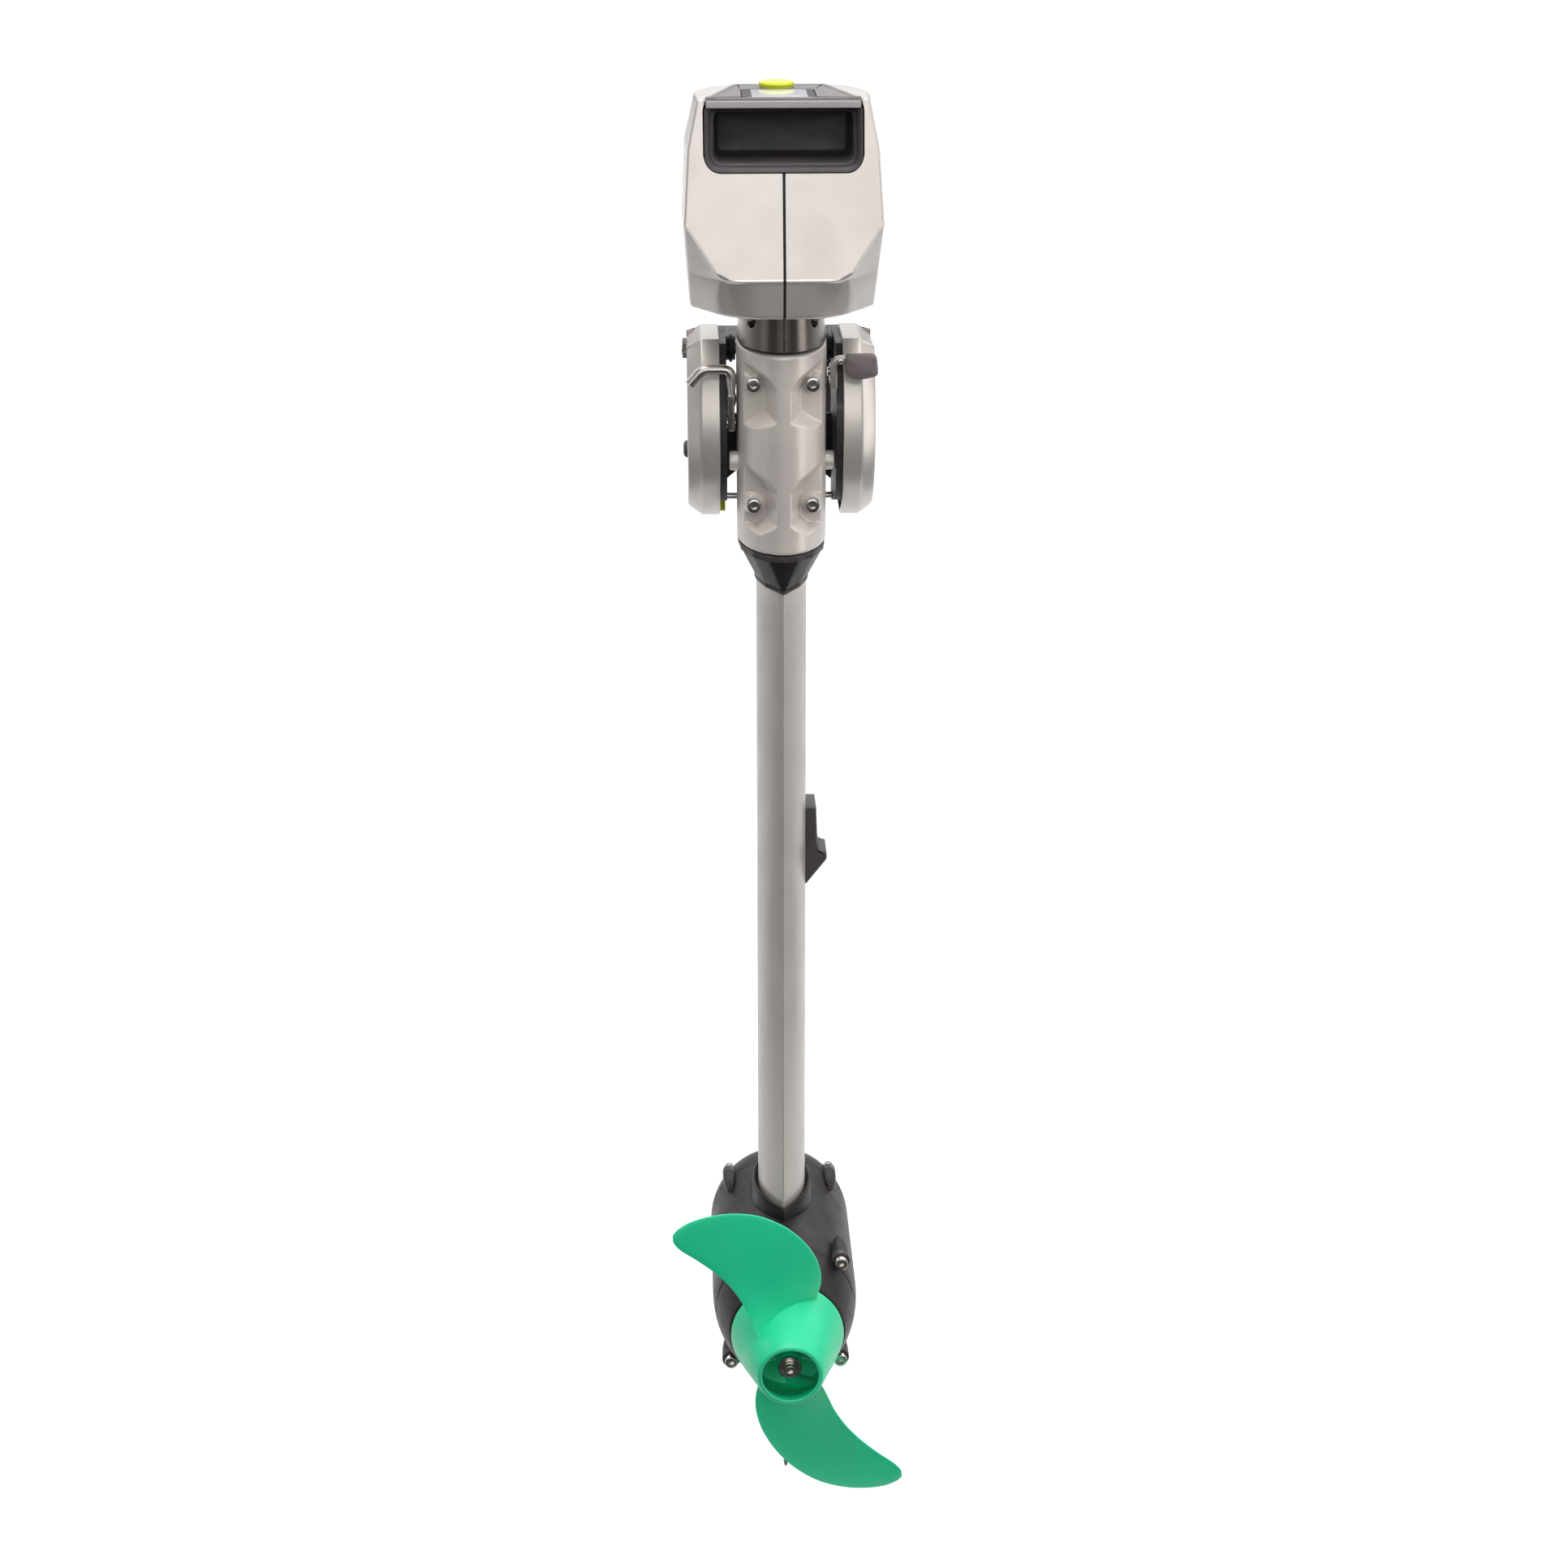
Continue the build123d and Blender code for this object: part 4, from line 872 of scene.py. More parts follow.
        # Bar in a paler grey: painted highlight from the overhead light.
        Piece("handle_bar", "steering", (), sharp=40).make(self.handle_bar(), BAR_HIGHLIGHT_GREY)
        Piece("deck_plate", "steering", ("deck_panel",), sharp=25, wall=0.8).make(
            self.deck(), DECK_GREY)
        top = self.deck_z - 0.5
        Piece("display_glass", "steering", ("display_window",), sharp=30).make(self.plate(
            [(-28, 41), (23, 41), (23, -8), (-28, -8)], top - 1.0, top + 0.2, 2.0),
            DISPLAY_GLASS)
        # Pale plate under the glass: painted reflection.
        Piece("display_painted_reflection", "steering", (), sharp=30).make(self.plate(
            [(-21.5, 36), (17.5, 36), (17.5, -4), (-21.5, -4)], top, top + 0.35, 1.0), DISPLAY_REFLECTION)
        Piece("stop_key_disc", "stop_key", ("stop_key",), sharp=30).make(self.key(), LIME)


# ---- swivel housing --------------------------------------------------------
@dataclass
class Housing:
    """Swivel housing behind the bracket, with four screw pockets and two side lugs."""

    half: float = 32.5
    depth: float = 60.0
    top: float = 22.5
    bottom: float = -122.0
    floor: float = 38.0          # pocket floor, distance aft at its inner side
    floor_fall: float = 7.5      # how much nearer the axis the floor lies at its outer side
    wall_slope: float = 2.8
    pocket_x: float = 12.5       # inner side of the pockets
    pocket_run: float = 16.0     # width over which their floors fall
    boss: float = 6.3            # radius of the seats under the screws
    screw_x: float = 21.0
    screw_z: tuple = (-1.0, -89.0)
    lug_s: float = 8.0
    lug_z: float = -64.0
    lug_r: float = 7.0
    lug_root: float = 25.0
    lug_end: float = 38.2

    def pocket_distance(self, x: np.ndarray, z: np.ndarray) -> np.ndarray:
        """Signed distance outside the pockets: for each convex outline the largest distance
        past any of its sides, and the smaller of the two outlines."""
        x0 = self.pocket_x
        upper = ((x0, -21), (x0, -4), (16, 2), (29, 14), (60, 14), (60, -32), (29, -32))
        lower = ((x0, -97), (x0, -78), (16, -72), (29, -60), (60, -60), (60, -104),
                 (28, -104), (19, -103))
        distance = []
        for outline in (upper, lower):
            points = np.array(outline, float)
            ahead = np.roll(points, -1, 0)
            edge = ahead - points
            normal = np.stack([-edge[:, 1], edge[:, 0]], 1)
            normal /= np.linalg.norm(normal, axis=1, keepdims=True)
            away = [(x - p[0]) * n[0] + (z - p[1]) * n[1] for p, n in zip(points, normal)]
            distance.append(np.max(np.stack(away), 0))
        return np.minimum(*distance)

    def rear(self) -> Skin:
        """Aft half: an elliptic wall whose depth is the smaller of the ellipse and of the
        pockets' floors with their sloping walls; bosses under the screws stay proud."""
        turn = np.linspace(-math.pi / 2, math.pi / 2, 221)
        z = np.linspace(self.bottom, self.top, 241)
        x = self.half * np.sin(turn)[None] * np.ones((len(z), 1))
        s = self.depth * np.cos(turn)[None] * np.ones((len(z), 1))
        zz = z[:, None] * np.ones(len(turn))
        away = self.pocket_distance(np.abs(x), zz)
        share = np.clip((np.abs(x) - self.pocket_x) / self.pocket_run, 0, 1)
        floor = self.floor - self.floor_fall * share
        for zs in self.screw_z:
            gap = np.hypot(np.abs(x) - self.screw_x, zz - zs) - self.boss
            floor = smooth_max(floor, self.floor - 0.2 - 2.5 * np.maximum(gap, 0), 0.6)
        pit = floor + self.wall_slope * np.maximum(away, 0)
        s = np.maximum(smooth_min(s, pit, 1.3), 0)
        skin = Skin().grid(self._rolled(aft(x, s, zz)))
        run = self.lug_end - self.lug_root
        profile = [(0, self.lug_r), (run - 1.2, self.lug_r), (run - 0.3, self.lug_r - 0.3),
                   (run, 6.0), (run, 3.0), (run - 1.5, 2.8)]
        for side in (-1, 1):
            root = aft(side * self.lug_root, self.lug_s, self.lug_z)
            skin.closed(turned(np.array(profile), root, (side, 0, 0), 40))
        return skin

    def _rolled(self, body: np.ndarray) -> np.ndarray:
        """Round the upper and lower edges and close the ends in to the bore."""
        radius, bore = 2.4, 17.0
        turn = np.linspace(0, math.pi / 2, 6)
        axis = np.array([0, STEER_Y, 0])
        angle = np.linspace(-math.pi / 2, math.pi / 2, body.shape[1])
        ends = []
        for edge, sign in ((body[0], -1), (body[-1], 1)):
            rows = []
            for t in turn:
                row = edge + (axis - edge) * (radius * (1 - math.cos(t)) / 45) * (1, 1, 0)
                row[:, 2] = edge[:, 2] + sign * radius * (math.sin(t) - 1)
                rows.append(row)
            hole = aft(bore * np.sin(angle), bore * np.cos(angle), edge[:, 2])
            rows.append(hole)
            ends.append(rows)
        inside = (body[:, 0, 2] > self.bottom + radius) & (body[:, 0, 2] < self.top - radius)
        low = np.stack(ends[0][::-1])
        return np.concatenate([low, body[inside], np.stack(ends[1])])

    def screws(self) -> Skin:
        """The four socket cap screws."""
        skin = Skin()
        for z in self.screw_z:
            for x in (-self.screw_x, self.screw_x):
                bolt(skin, aft(x, self.floor, z), (0, -1, 0), 5.0, 6.0, 5.0, 3.0, 14.0)
        return skin

    def build(self) -> None:
        """Make and dress the housing's visible pieces."""
        Piece("swivel_housing_painted", "swivel", ("swivel_housing_rear",), wall=2.0,
              sharp=50).make(self.rear(), GREY_POWDER)
        softened_node("swivel_housing_front", "swivel", GREY_POWDER, 0.8)
        Piece("swivel_cap_screws", "swivel", ("swivel_screws",), sharp=32).make(
            self.screws(), STAINLESS)
        for side in ("right", "left"):
            softened_node(f"neck_cover_{side}", "steering", SMOKE_CHROME, 0.4)


# ---- bracket ---------------------------------------------------------------
@dataclass
class Bracket:
    """Transom bracket: painted covers over black arms, levers, axle and clamps."""

    inner: float = 44.5
    facet: float = 58.0
    outer: float = 68.0
    facet_inset: float = 7.5
    wall: float = 3.0

    def side_outline(self) -> np.ndarray:
        """D-shaped side in (y, z): straight in front and above, two arcs behind."""
        back = np.concatenate([arc_through((-93, 22), (-114, -10), (-121.5, -47), 26),
                               arc_through((-121.5, -47), (-107, -90), (-66, -115), 26)])
        top = np.linspace((-37, 22), (-93, 22), 16, endpoint=False)
        corner = arc_through((-34, 19), (-34.9, 21.1), (-37, 22), 4)
        foot = np.linspace((-66, -115), (-37, -113.2), 10, endpoint=False)
        lower = arc_through((-37, -113.2), (-34.9, -112.2), (-34, -110), 4)
        front = np.linspace((-34, -110), (-34, 19), 24, endpoint=False)
        return np.concatenate([top, back, foot, lower, front, corner])

    def cover(self) -> Skin:
        """Starboard cover: outline loops step outwards in x, with rounded breaks between the
        flank, the bevel and the flat side, then back in along the inner wall."""
        outline = self.side_outline()
        steps = [(self.inner + 0.5, 0.0), (self.facet - 1.2, 0.0), (self.facet, 0.25),
                 (self.facet + 1.2, 1.1), (self.outer - 1.1, self.facet_inset - 1.0),
                 (self.outer - 0.2, self.facet_inset + 0.2), (self.outer, self.facet_inset + 1.4)]
        loops = [self._loop(outline, 0.5, self.inner)]
        loops += [self._loop(outline, inset, x) for x, inset in steps]
        loops += [self._loop(outline, inset, self.outer) for inset in (16.0, 28.0)]
        inside = [(self.inner, self.wall), (self.facet, self.wall),
                  (self.outer - self.wall, self.wall + self.facet_inset)]
        walls = [self._loop(outline, inset, x) for x, inset in inside]
        skin = Skin().grid(np.stack(loops), wrap=True).disc(loops[-1])
        skin.grid(np.stack([loops[0], *walls]), wrap=True).disc(walls[-1])
        return skin

    @staticmethod
    def _loop(outline: np.ndarray, inset: float, x: float) -> np.ndarray:
        """The outline moved in by inset, in the plane x."""
        centre = np.array([-74.0, -46.0])
        reach = np.linalg.norm(outline - centre, axis=1, keepdims=True)
        moved = shrink(outline, inset) if inset < 12 else \
            centre + (outline - centre) * (1 - inset / reach)
        return np.column_stack([np.full(len(moved), x), moved])

    def left_lever(self) -> Skin:
        """Port lever: a round bar bent over the cover, flattened where it runs down."""
        bar_s = 18.0
        corners = np.array([[(-36.3, -14), (-36.3, 5.0), (-57, 5.0), (-66.3, -5.5)]], float)
        path = rounded_path(corners, np.array([[6.5, 5.0]]), 12, [6, 8, 6])[0]
        tangent, normal = directions(path)
        angle = np.linspace(0, 2 * math.pi, 20, endpoint=False)
        flat = np.clip((path[:, 1] + 14) / 12, 0, 1) * (path[:, 0] > -37) + (path[:, 0] <= -37)
        across = 2.5 + 1.2 * flat
        deep = 4.4 - 0.7 * flat
        x = path[:, None, 0] + np.cos(angle) * across[:, None] * normal[:, None, 0]
        z = path[:, None, 1] + np.cos(angle) * across[:, None] * normal[:, None, 1]
        s = bar_s + np.sin(angle) * deep[:, None]
        bar = aft(x, s, z)
        skin = Skin().grid(bar, wrap=True)
        tip = path[-1] + tangent[-1] * 1.6
        dome = bar[-1] * 0.45 + aft(tip[0], bar_s, tip[1]) * 0.55
        skin.grid(np.stack([bar[-1], dome]), wrap=True).disc(dome).disc(bar[0])
        stem = [(13.6, -12.5), (22.4, -12.5), (20.8, -24), (17.2, -40.5), (8.4, -40.5),
                (9.6, -33.0), (13.0, -22)]
        self._bar(skin, stem, (-38.9, -34.0))
        return skin

    @staticmethod
    def _bar(skin: Skin, corners: list, across: tuple) -> None:
        """Flat bar: an outline of (distance aft, z) corners between two x, edges broken."""
        outline = ring(corners, 1.6, 5, 3)
        edge = 0.5 if across[1] > across[0] else -0.5
        rows = [(across[0], 0.5), (across[0] + edge, 0), (across[1] - edge, 0), (across[1], 0.5)]
        skin.closed(slab(outline, rows, sideways=False))

    def right_lever(self) -> Skin:
        """Starboard lever: a flat stem whose top bends outwards into the grip's tongue."""
        corners = np.array([[(37, -8.5), (37, 12.0), (60, 12.0)]], float)
        path = rounded_path(corners, np.array([[6.0]]), 12, [10, 10])[0]
        normal = directions(path)[1]
        section = ring([(-2.3, -4.0), (2.3, -4.0), (2.3, 4.0), (-2.3, 4.0)], 0.9, 4, 3)
        x = path[:, None, 0] + section[None, :, 0] * normal[:, None, 0]
        z = path[:, None, 1] + section[None, :, 0] * normal[:, None, 1]
        s = 18.0 + section[None, :, 1] * np.ones((len(path), 1))
        bar = aft(x, s, z)
        skin = Skin().closed(bar)
        plate = [(21.5, -2), (21.5, -9), (8, -10), (-8, -9), (-12, -3), (-9, 4), (-3, 5)]
        self._bar(skin, plate, (35.2, 38.9))
        return skin

    def grip(self) -> Skin:
        """Rubber grip: a rounded block that swells a little in its middle."""
        low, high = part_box("right_lever_grip")
        x0, x1, z0, z1 = (v / MM for v in (low.x, high.x, low.z, high.z))
        outline = ring([(x0, z0 + 4), (x0, z1), (x1 - 1.5, z1), (x1, z0 + 3), (x0 + 10, z0)],
                       3.6, 7, 6)
        s_mid, half = STEER_Y - middle("right_lever_grip")[1], 4.4
        rows = [(s_mid + side * (half - back), inset) for side, back, inset in
                ((-1, 0, 1.8), (-1, 0.5, 0.7), (-1, 1.6, 0.0), (1, 1.6, 0.0), (1, 0.5, 0.7),
                 (1, 0, 1.8))]
        return Skin().closed(slab(outline, rows, sideways=True))

    def small_parts(self) -> None:
        """Axle end with its nut, lock dome and the grip's retaining screw."""
        nut_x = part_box("tilt_axle_nut")[0].x / MM
        centre = middle("tilt_axle_nut")
        nut = turned(np.array([(0, 1.0), (2.6, 1.0), (3.0, 0.93)]),
                     np.array([nut_x + 3.0, centre[1], centre[2]]), (-1, 0, 0), 48,
                     np.broadcast_to(hexagon(6.4, 48), (3, 48)))
        Piece("axle_nut_machined", "bracket", ("tilt_axle_nut",), sharp=30).make(
            Skin().closed(nut), BLACK_OXIDE)
        low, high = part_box("lock_dome")
        radius = (high.z - low.z) / 2 / MM
        base = np.array([high.x / MM, *middle("lock_dome")[1:]])
        tall = (high.x - low.x) / MM
        turn = np.linspace(0, math.pi / 2, 9)[:-1]
        dome = np.column_stack([tall * np.sin(turn) ** 0.9, radius * np.cos(turn) ** 0.6])
        Piece("lock_dome_moulded", "bracket", ("lock_dome",), sharp=40).make(
            Skin().closed(turned(dome, base, (-1, 0, 0), 48)), CHARCOAL)
        skin = Skin()
        bolt(skin, aft(42.2, 21.8, 10.6), (0, -1, 0), 2.2, 1.4, 2.0, 1.2, 3.0)
        Piece("grip_screw", "right_lever", (), sharp=32).make(skin, STAINLESS)

    def build(self) -> None:
        """Make and dress the bracket's visible pieces."""
        cover = self.cover()
        for side, skin in (("right", cover), ("left", cover.mirrored())):
            Piece(f"arm_cover_{side}_painted", "bracket", (f"arm_cover_{side}",),
                  sharp=32).make(skin, GREY_PAINT)
        for node, width in (("clamp_arm_right", 0.8), ("clamp_arm_left", 0.8),
                            ("transom_bridge", 0.8), ("arm_web", 0.6), ("tilt_spacers", 0.4)):
            softened_node(node, "bracket", BLACK_CAST, width)
        Piece("left_lever_bent", "left_lever", ("left_lever",), sharp=45).make(
            self.left_lever(), BRIGHT_BAR)
        Piece("right_lever_bent", "right_lever", ("right_lever",), sharp=45).make(
            self.right_lever(), BRIGHT_BAR)
        Piece("right_lever_rubber", "right_lever", ("right_lever_grip",), sharp=50).make(
            self.grip(), GRIP_RUBBER)
        softened_node("rod_tab", "rod_tab", LIME, 0.5)
        for side in ("right", "left"):
            softened_node(f"clamp_screw_{side}", f"clamp_screw_{side}", STAINLESS, 0.8)
            softened_node(f"clamp_pad_{side}", f"clamp_pad_{side}", BLACK_RUBBER, 0.8)
        self.small_parts()


# ---- leg and pod -----------------------------------------------------------
@dataclass
class Leg:
    """Streamlined leg with its collar and hook."""

    half: float = 18.5
    tail: float = 49.0
    nose: float = 45.0
    top: float = -153.2
    bottom: float = -662.0
    collar_top: float = -122.4

    def section(self, grow: float, count: int = 40) -> np.ndarray:
        """Closed section (points, 2) in (x, distance aft): half an ellipse in front, and two
        circular arcs that leave the sides tangent and meet in a ridge behind."""
        half, tail, nose = self.half + grow, self.tail + 1.6 * grow, self.nose + grow
        radius = (tail * tail + half * half) / (2 * half)
        turn = np.linspace(0, math.asin(tail / radius), count)
        side = np.column_stack([half - radius * (1 - np.cos(turn)), radius * np.sin(turn)])
        ridge = 0.7
        side = side[side[:, 0] > ridge]
        cap = np.array([(0.45, side[-1, 1] + 0.55), (0, side[-1, 1] + 0.75),
                        (-0.45, side[-1, 1] + 0.55)])
        fore = np.linspace(math.pi, 2 * math.pi, count + 1)[1:-1]
        front = np.column_stack([half * np.cos(fore), nose * np.sin(fore)])
        return np.concatenate([side, cap, side[::-1] * (-1, 1), front])

    def fairing(self) -> Skin:
        """The leg's skin: its section carried down, with an inner wall."""
        outer, inner = self.section(0.0), self.section(-2.6)
        heights = np.linspace(self.top, self.bottom, 25)
        count = min(len(outer), len(inner))
        outer, inner = self.even(outer, count), self.even(inner, count)
        out = [aft(*outer.T, z) for z in heights]
        into = [aft(*inner.T, z) for z in heights[::-1]]
        return Skin().grid(np.stack([*out, *into, out[0]]), wrap=True)

    @staticmethod
    def even(loop: np.ndarray, count: int) -> np.ndarray:
        """A loop with the given number of points, taken at even steps along its index."""
        index = np.linspace(0, len(loop), count, endpoint=False)
        closed = np.vstack([loop, loop[:1]])
        base = np.arange(len(closed))
        return np.column_stack([np.interp(index, base, closed[:, k]) for k in (0, 1)])

    def collar(self) -> Skin:
        """Black collar: thirteen corners slide from the housing's oval to the leg's pointed
        section, so the flat facets between them narrow downwards."""
        upper = [(0, 58.4), (11, 56.2), (22, 43), (30, 22), (31.8, 0), (27, -22), (14, -36.5)]
        lower = [(0, 51.5), (1.2, 50.6), (12.5, 31), (18.6, 10), (19.7, 0), (16.8, -25),
                 (9, -41)]
        rows = []
        levels = ((self.collar_top, 0.0, 1.0), (self.collar_top - 0.5, 0.0, 1.012),
                  (self.collar_top - 4.5, 0.03, 1.012), (self.collar_top - 5.2, 0.05, 0.985),
                  (self.top + 3.2, 0.97, 0.99), (self.top + 2.4, 0.985, 1.01),
                  (self.top + 0.3, 1.0, 1.01), (self.top + 0.1, 1.0, 0.9))
        for z, share, size in levels:
            half = np.array(upper) * (1 - share) + np.array(lower) * share
            full = np.concatenate([half, (half * (-1, 1))[:0:-1]]) * size
            loop = rounded_path(full[None], np.full((1, len(full)), 1.6), 5,
                                [3] * len(full), True)[0]
            rows.append(aft(*loop.T, z))
        return Skin().closed(rows)

    def hook(self) -> Skin:
        """Moulded hook for coiled lines on the leg's starboard side."""
        outline = ring([(14, -333), (26.3, -333), (27.3, -361), (29.2, -369.6), (34.4, -369.8),
                        (34.6, -376), (19, -396), (14, -396)], 1.4, 5, 3)
        rows = [(8, 1.2), (7.2, 0.3), (6.4, 0), (-20.4, 0), (-21.2, 0.3), (-22, 1.2)]
        return Skin().closed(slab(outline, rows, sideways=True))

    def build(self) -> None:
        """Make and dress the leg's pieces."""
        Piece("leg_collar_moulded", "steering", ("leg_collar",), sharp=24).make(
            self.collar(), POD_BLACK)
        Piece("leg_fairing_extruded", "steering", ("leg_fairing",), sharp=24).make(
            self.fairing(), GREY_EXTRUSION)
        Piece("leg_hook_moulded", "steering", ("leg_hook",), sharp=40).make(
            self.hook(), CHARCOAL)


@dataclass
class Pod:
    """Motor pod: nose, middle with the leg's socket, tail, screws and skeg."""

    leg: Leg
    radius: float = 56.0
    nose_tip: float = -118.0
    nose_end: float = -51.0
    body_end: float = 93.0
    tail_end: float = 129.5
    tail_radius: float = 44.0
    boss_at: float = 60.0
    boss_radius: float = 7.0
    ear_at: float = 57.5         # the front bosses are smaller and nearer the shaft
    ear_radius: float = 5.4

    @staticmethod
    def corners(reach: float) -> list:
        """Places (x, z) of the four corner screws at a distance from the shaft."""
        angles = [math.radians(corner) for corner in (45, 135, 225, 315)]
        return [(reach * math.cos(a), PROP_Z + reach * math.sin(a)) for a in angles]

    def radius_at(self, s: np.ndarray) -> np.ndarray:
        """Pod radius along the shaft: an ellipse for the nose, a barrel with a slight swell,
        and a tail that falls with the square of the distance."""
        nose = np.sqrt(np.clip(1 - ((s - self.nose_end) / (self.nose_end - self.nose_tip)) ** 2,
                               0, 1))
        fall = np.clip((s - 64) / (self.tail_end - 64), 0, 1) ** 2.1
        tail = 1 - (1 - self.tail_radius / self.radius) * fall
        return self.radius * np.where(s < self.nose_end, nose, tail)

    def turned_part(self, start: float, end: float, count: int = 44) -> np.ndarray:
        """Surface between two distances aft, with a groove's depth rolled in at each end."""
        if start == self.nose_tip:
            turn = np.linspace(0.02, math.pi / 2, count)
            s = self.nose_end - (self.nose_end - self.nose_tip) * np.cos(turn)
        else:
            s = np.linspace(start, end, count)
        r = self.radius_at(s)
        roll = 0.6
        edge = [(end, float(r[-1]) - roll), (end, float(r[-1]) - 4)]
        profile = list(zip(s[:-1], r[:-1])) + [(end - roll, float(r[-1]))] + edge
        if start != self.nose_tip:
            profile = [(start, float(r[0]) - 4), (start, float(r[0]) - roll),
                       (start + roll, float(r[0]))] + profile[1:]
        return turned(np.array(profile), SHAFT, (0, -1, 0), 128)

    def bosses(self, skin: Skin, at: float, run: float, flush: float) -> None:
        """Corner bosses: a cylinder that fades into the pod as a long rounded ramp.

        Args:
            skin: surface that takes them.
            at: distance aft of their flat ends.
            run: length of the ramp, negative towards the nose.
            flush: how far the flat end stands out.
        """
        direction = 1 if run > 0 else -1
        rear = at > 0
        full = self.boss_radius if rear else self.ear_radius
        ring_radius = self.boss_at if rear else self.ear_at
        s = np.linspace(0, 1, 14)[1:]
        ramp = np.column_stack([-(1 - s) * abs(run), full * np.sqrt(1 - (1 - s) ** 2.4)])
        profile = np.vstack([ramp, [(flush - 0.5, full), (flush, full - 0.5)]])
        for x, z in self.corners(ring_radius):
            skin.closed(turned(profile, aft(x, at, z), (0, -direction, 0), 40))

    def middle_part(self) -> Skin:
        """Body that the leg stands in, with screw bosses at both ends."""
        skin = Skin().closed(self.turned_part(self.nose_end, self.body_end))
        self.bosses(skin, self.body_end - 0.2, 34, 0.2)
        self.bosses(skin, self.nose_end + 0.2, -26, 0.2)
        return skin

    def boot(self) -> Skin:
        """Black boot round the leg's foot: sections that grow outwards as they go down."""
        rim = self.leg.bottom + 12
        levels = ((7.6, PROP_Z + 40), (6.4, PROP_Z + 50), (5.0, rim - 5), (4.2, rim - 1.0),
                  (3.6, rim - 0.2), (3.0, rim), (1.6, rim - 1.2), (0.6, rim - 2.0),
                  (0.3, rim - 9))
        loops = [aft(*self.leg.even(self.leg.section(grow), 150).T, z) for grow, z in levels]
        return Skin().grid(np.stack(loops), wrap=True)

    def nose_part(self) -> Skin:
        """Rounded nose cap with its own screw bosses."""
        skin = Skin().closed(self.turned_part(self.nose_tip, self.nose_end - 0.4))
        self.bosses(skin, self.nose_end - 8.0, 0.1, 7.4)
        return skin

    def tail_part(self) -> Skin:
        """Tail cap behind the split line, with seats for the rear screws."""
        skin = Skin().closed(self.turned_part(self.body_end + 0.4, self.tail_end))
        self.bosses(skin, self.body_end + 0.5, 0.1, 2.5)
        return skin

    def screws(self) -> Skin:
        """The eight socket cap screws at both ends."""
        skin = Skin()
        for (x, z), (ear_x, ear_z) in zip(self.corners(self.boss_at), self.corners(self.ear_at)):
            bolt(skin, aft(x, self.body_end + 3, z), (0, -1, 0), 5.0, 6.0, 5.0, 3.0, 10.0)
            bolt(skin, aft(ear_x, self.nose_end - 8, ear_z), (0, 1, 0), 4.6, 6.0, 5.0, 3.0, 10.0)
        return skin

    def skeg(self) -> Skin:
        """Fin under the pod: an outline whose thickness thins to both edges."""
        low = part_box("skeg")[0].z / MM
        outline = ring([(-20, PROP_Z - 50), (88, PROP_Z - 50), (106, low + 12), (100, low),
                        (62, low)], 5.0, 8, 12)
        rows = [(-1.6, 3.0), (-1.1, 0.8), (0.0, 0.0), (1.1, 0.8), (1.6, 3.0)]
        return Skin().closed(slab(outline, rows, sideways=False))

    def build(self) -> None:
        """Make and dress the pod's pieces."""
        for name, skin, node in (("pod_middle_cast", self.middle_part(), "motor_housing"),
                                 ("pod_nose_cast", self.nose_part(), "pod_nose"),
                                 ("pod_tail_cast", self.tail_part(), "pod_tail"),
                                 ("skeg_cast", self.skeg(), "skeg")):
            Piece(name, "steering", (node,), sharp=35).make(skin, POD_BLACK)
        Piece("leg_foot_boot", "steering", (), sharp=35).make(self.boot(), BOOT_BLACK)
        Piece("pod_cap_screws", "steering", ("pod_screws",), sharp=32).make(
            self.screws(), STAINLESS)


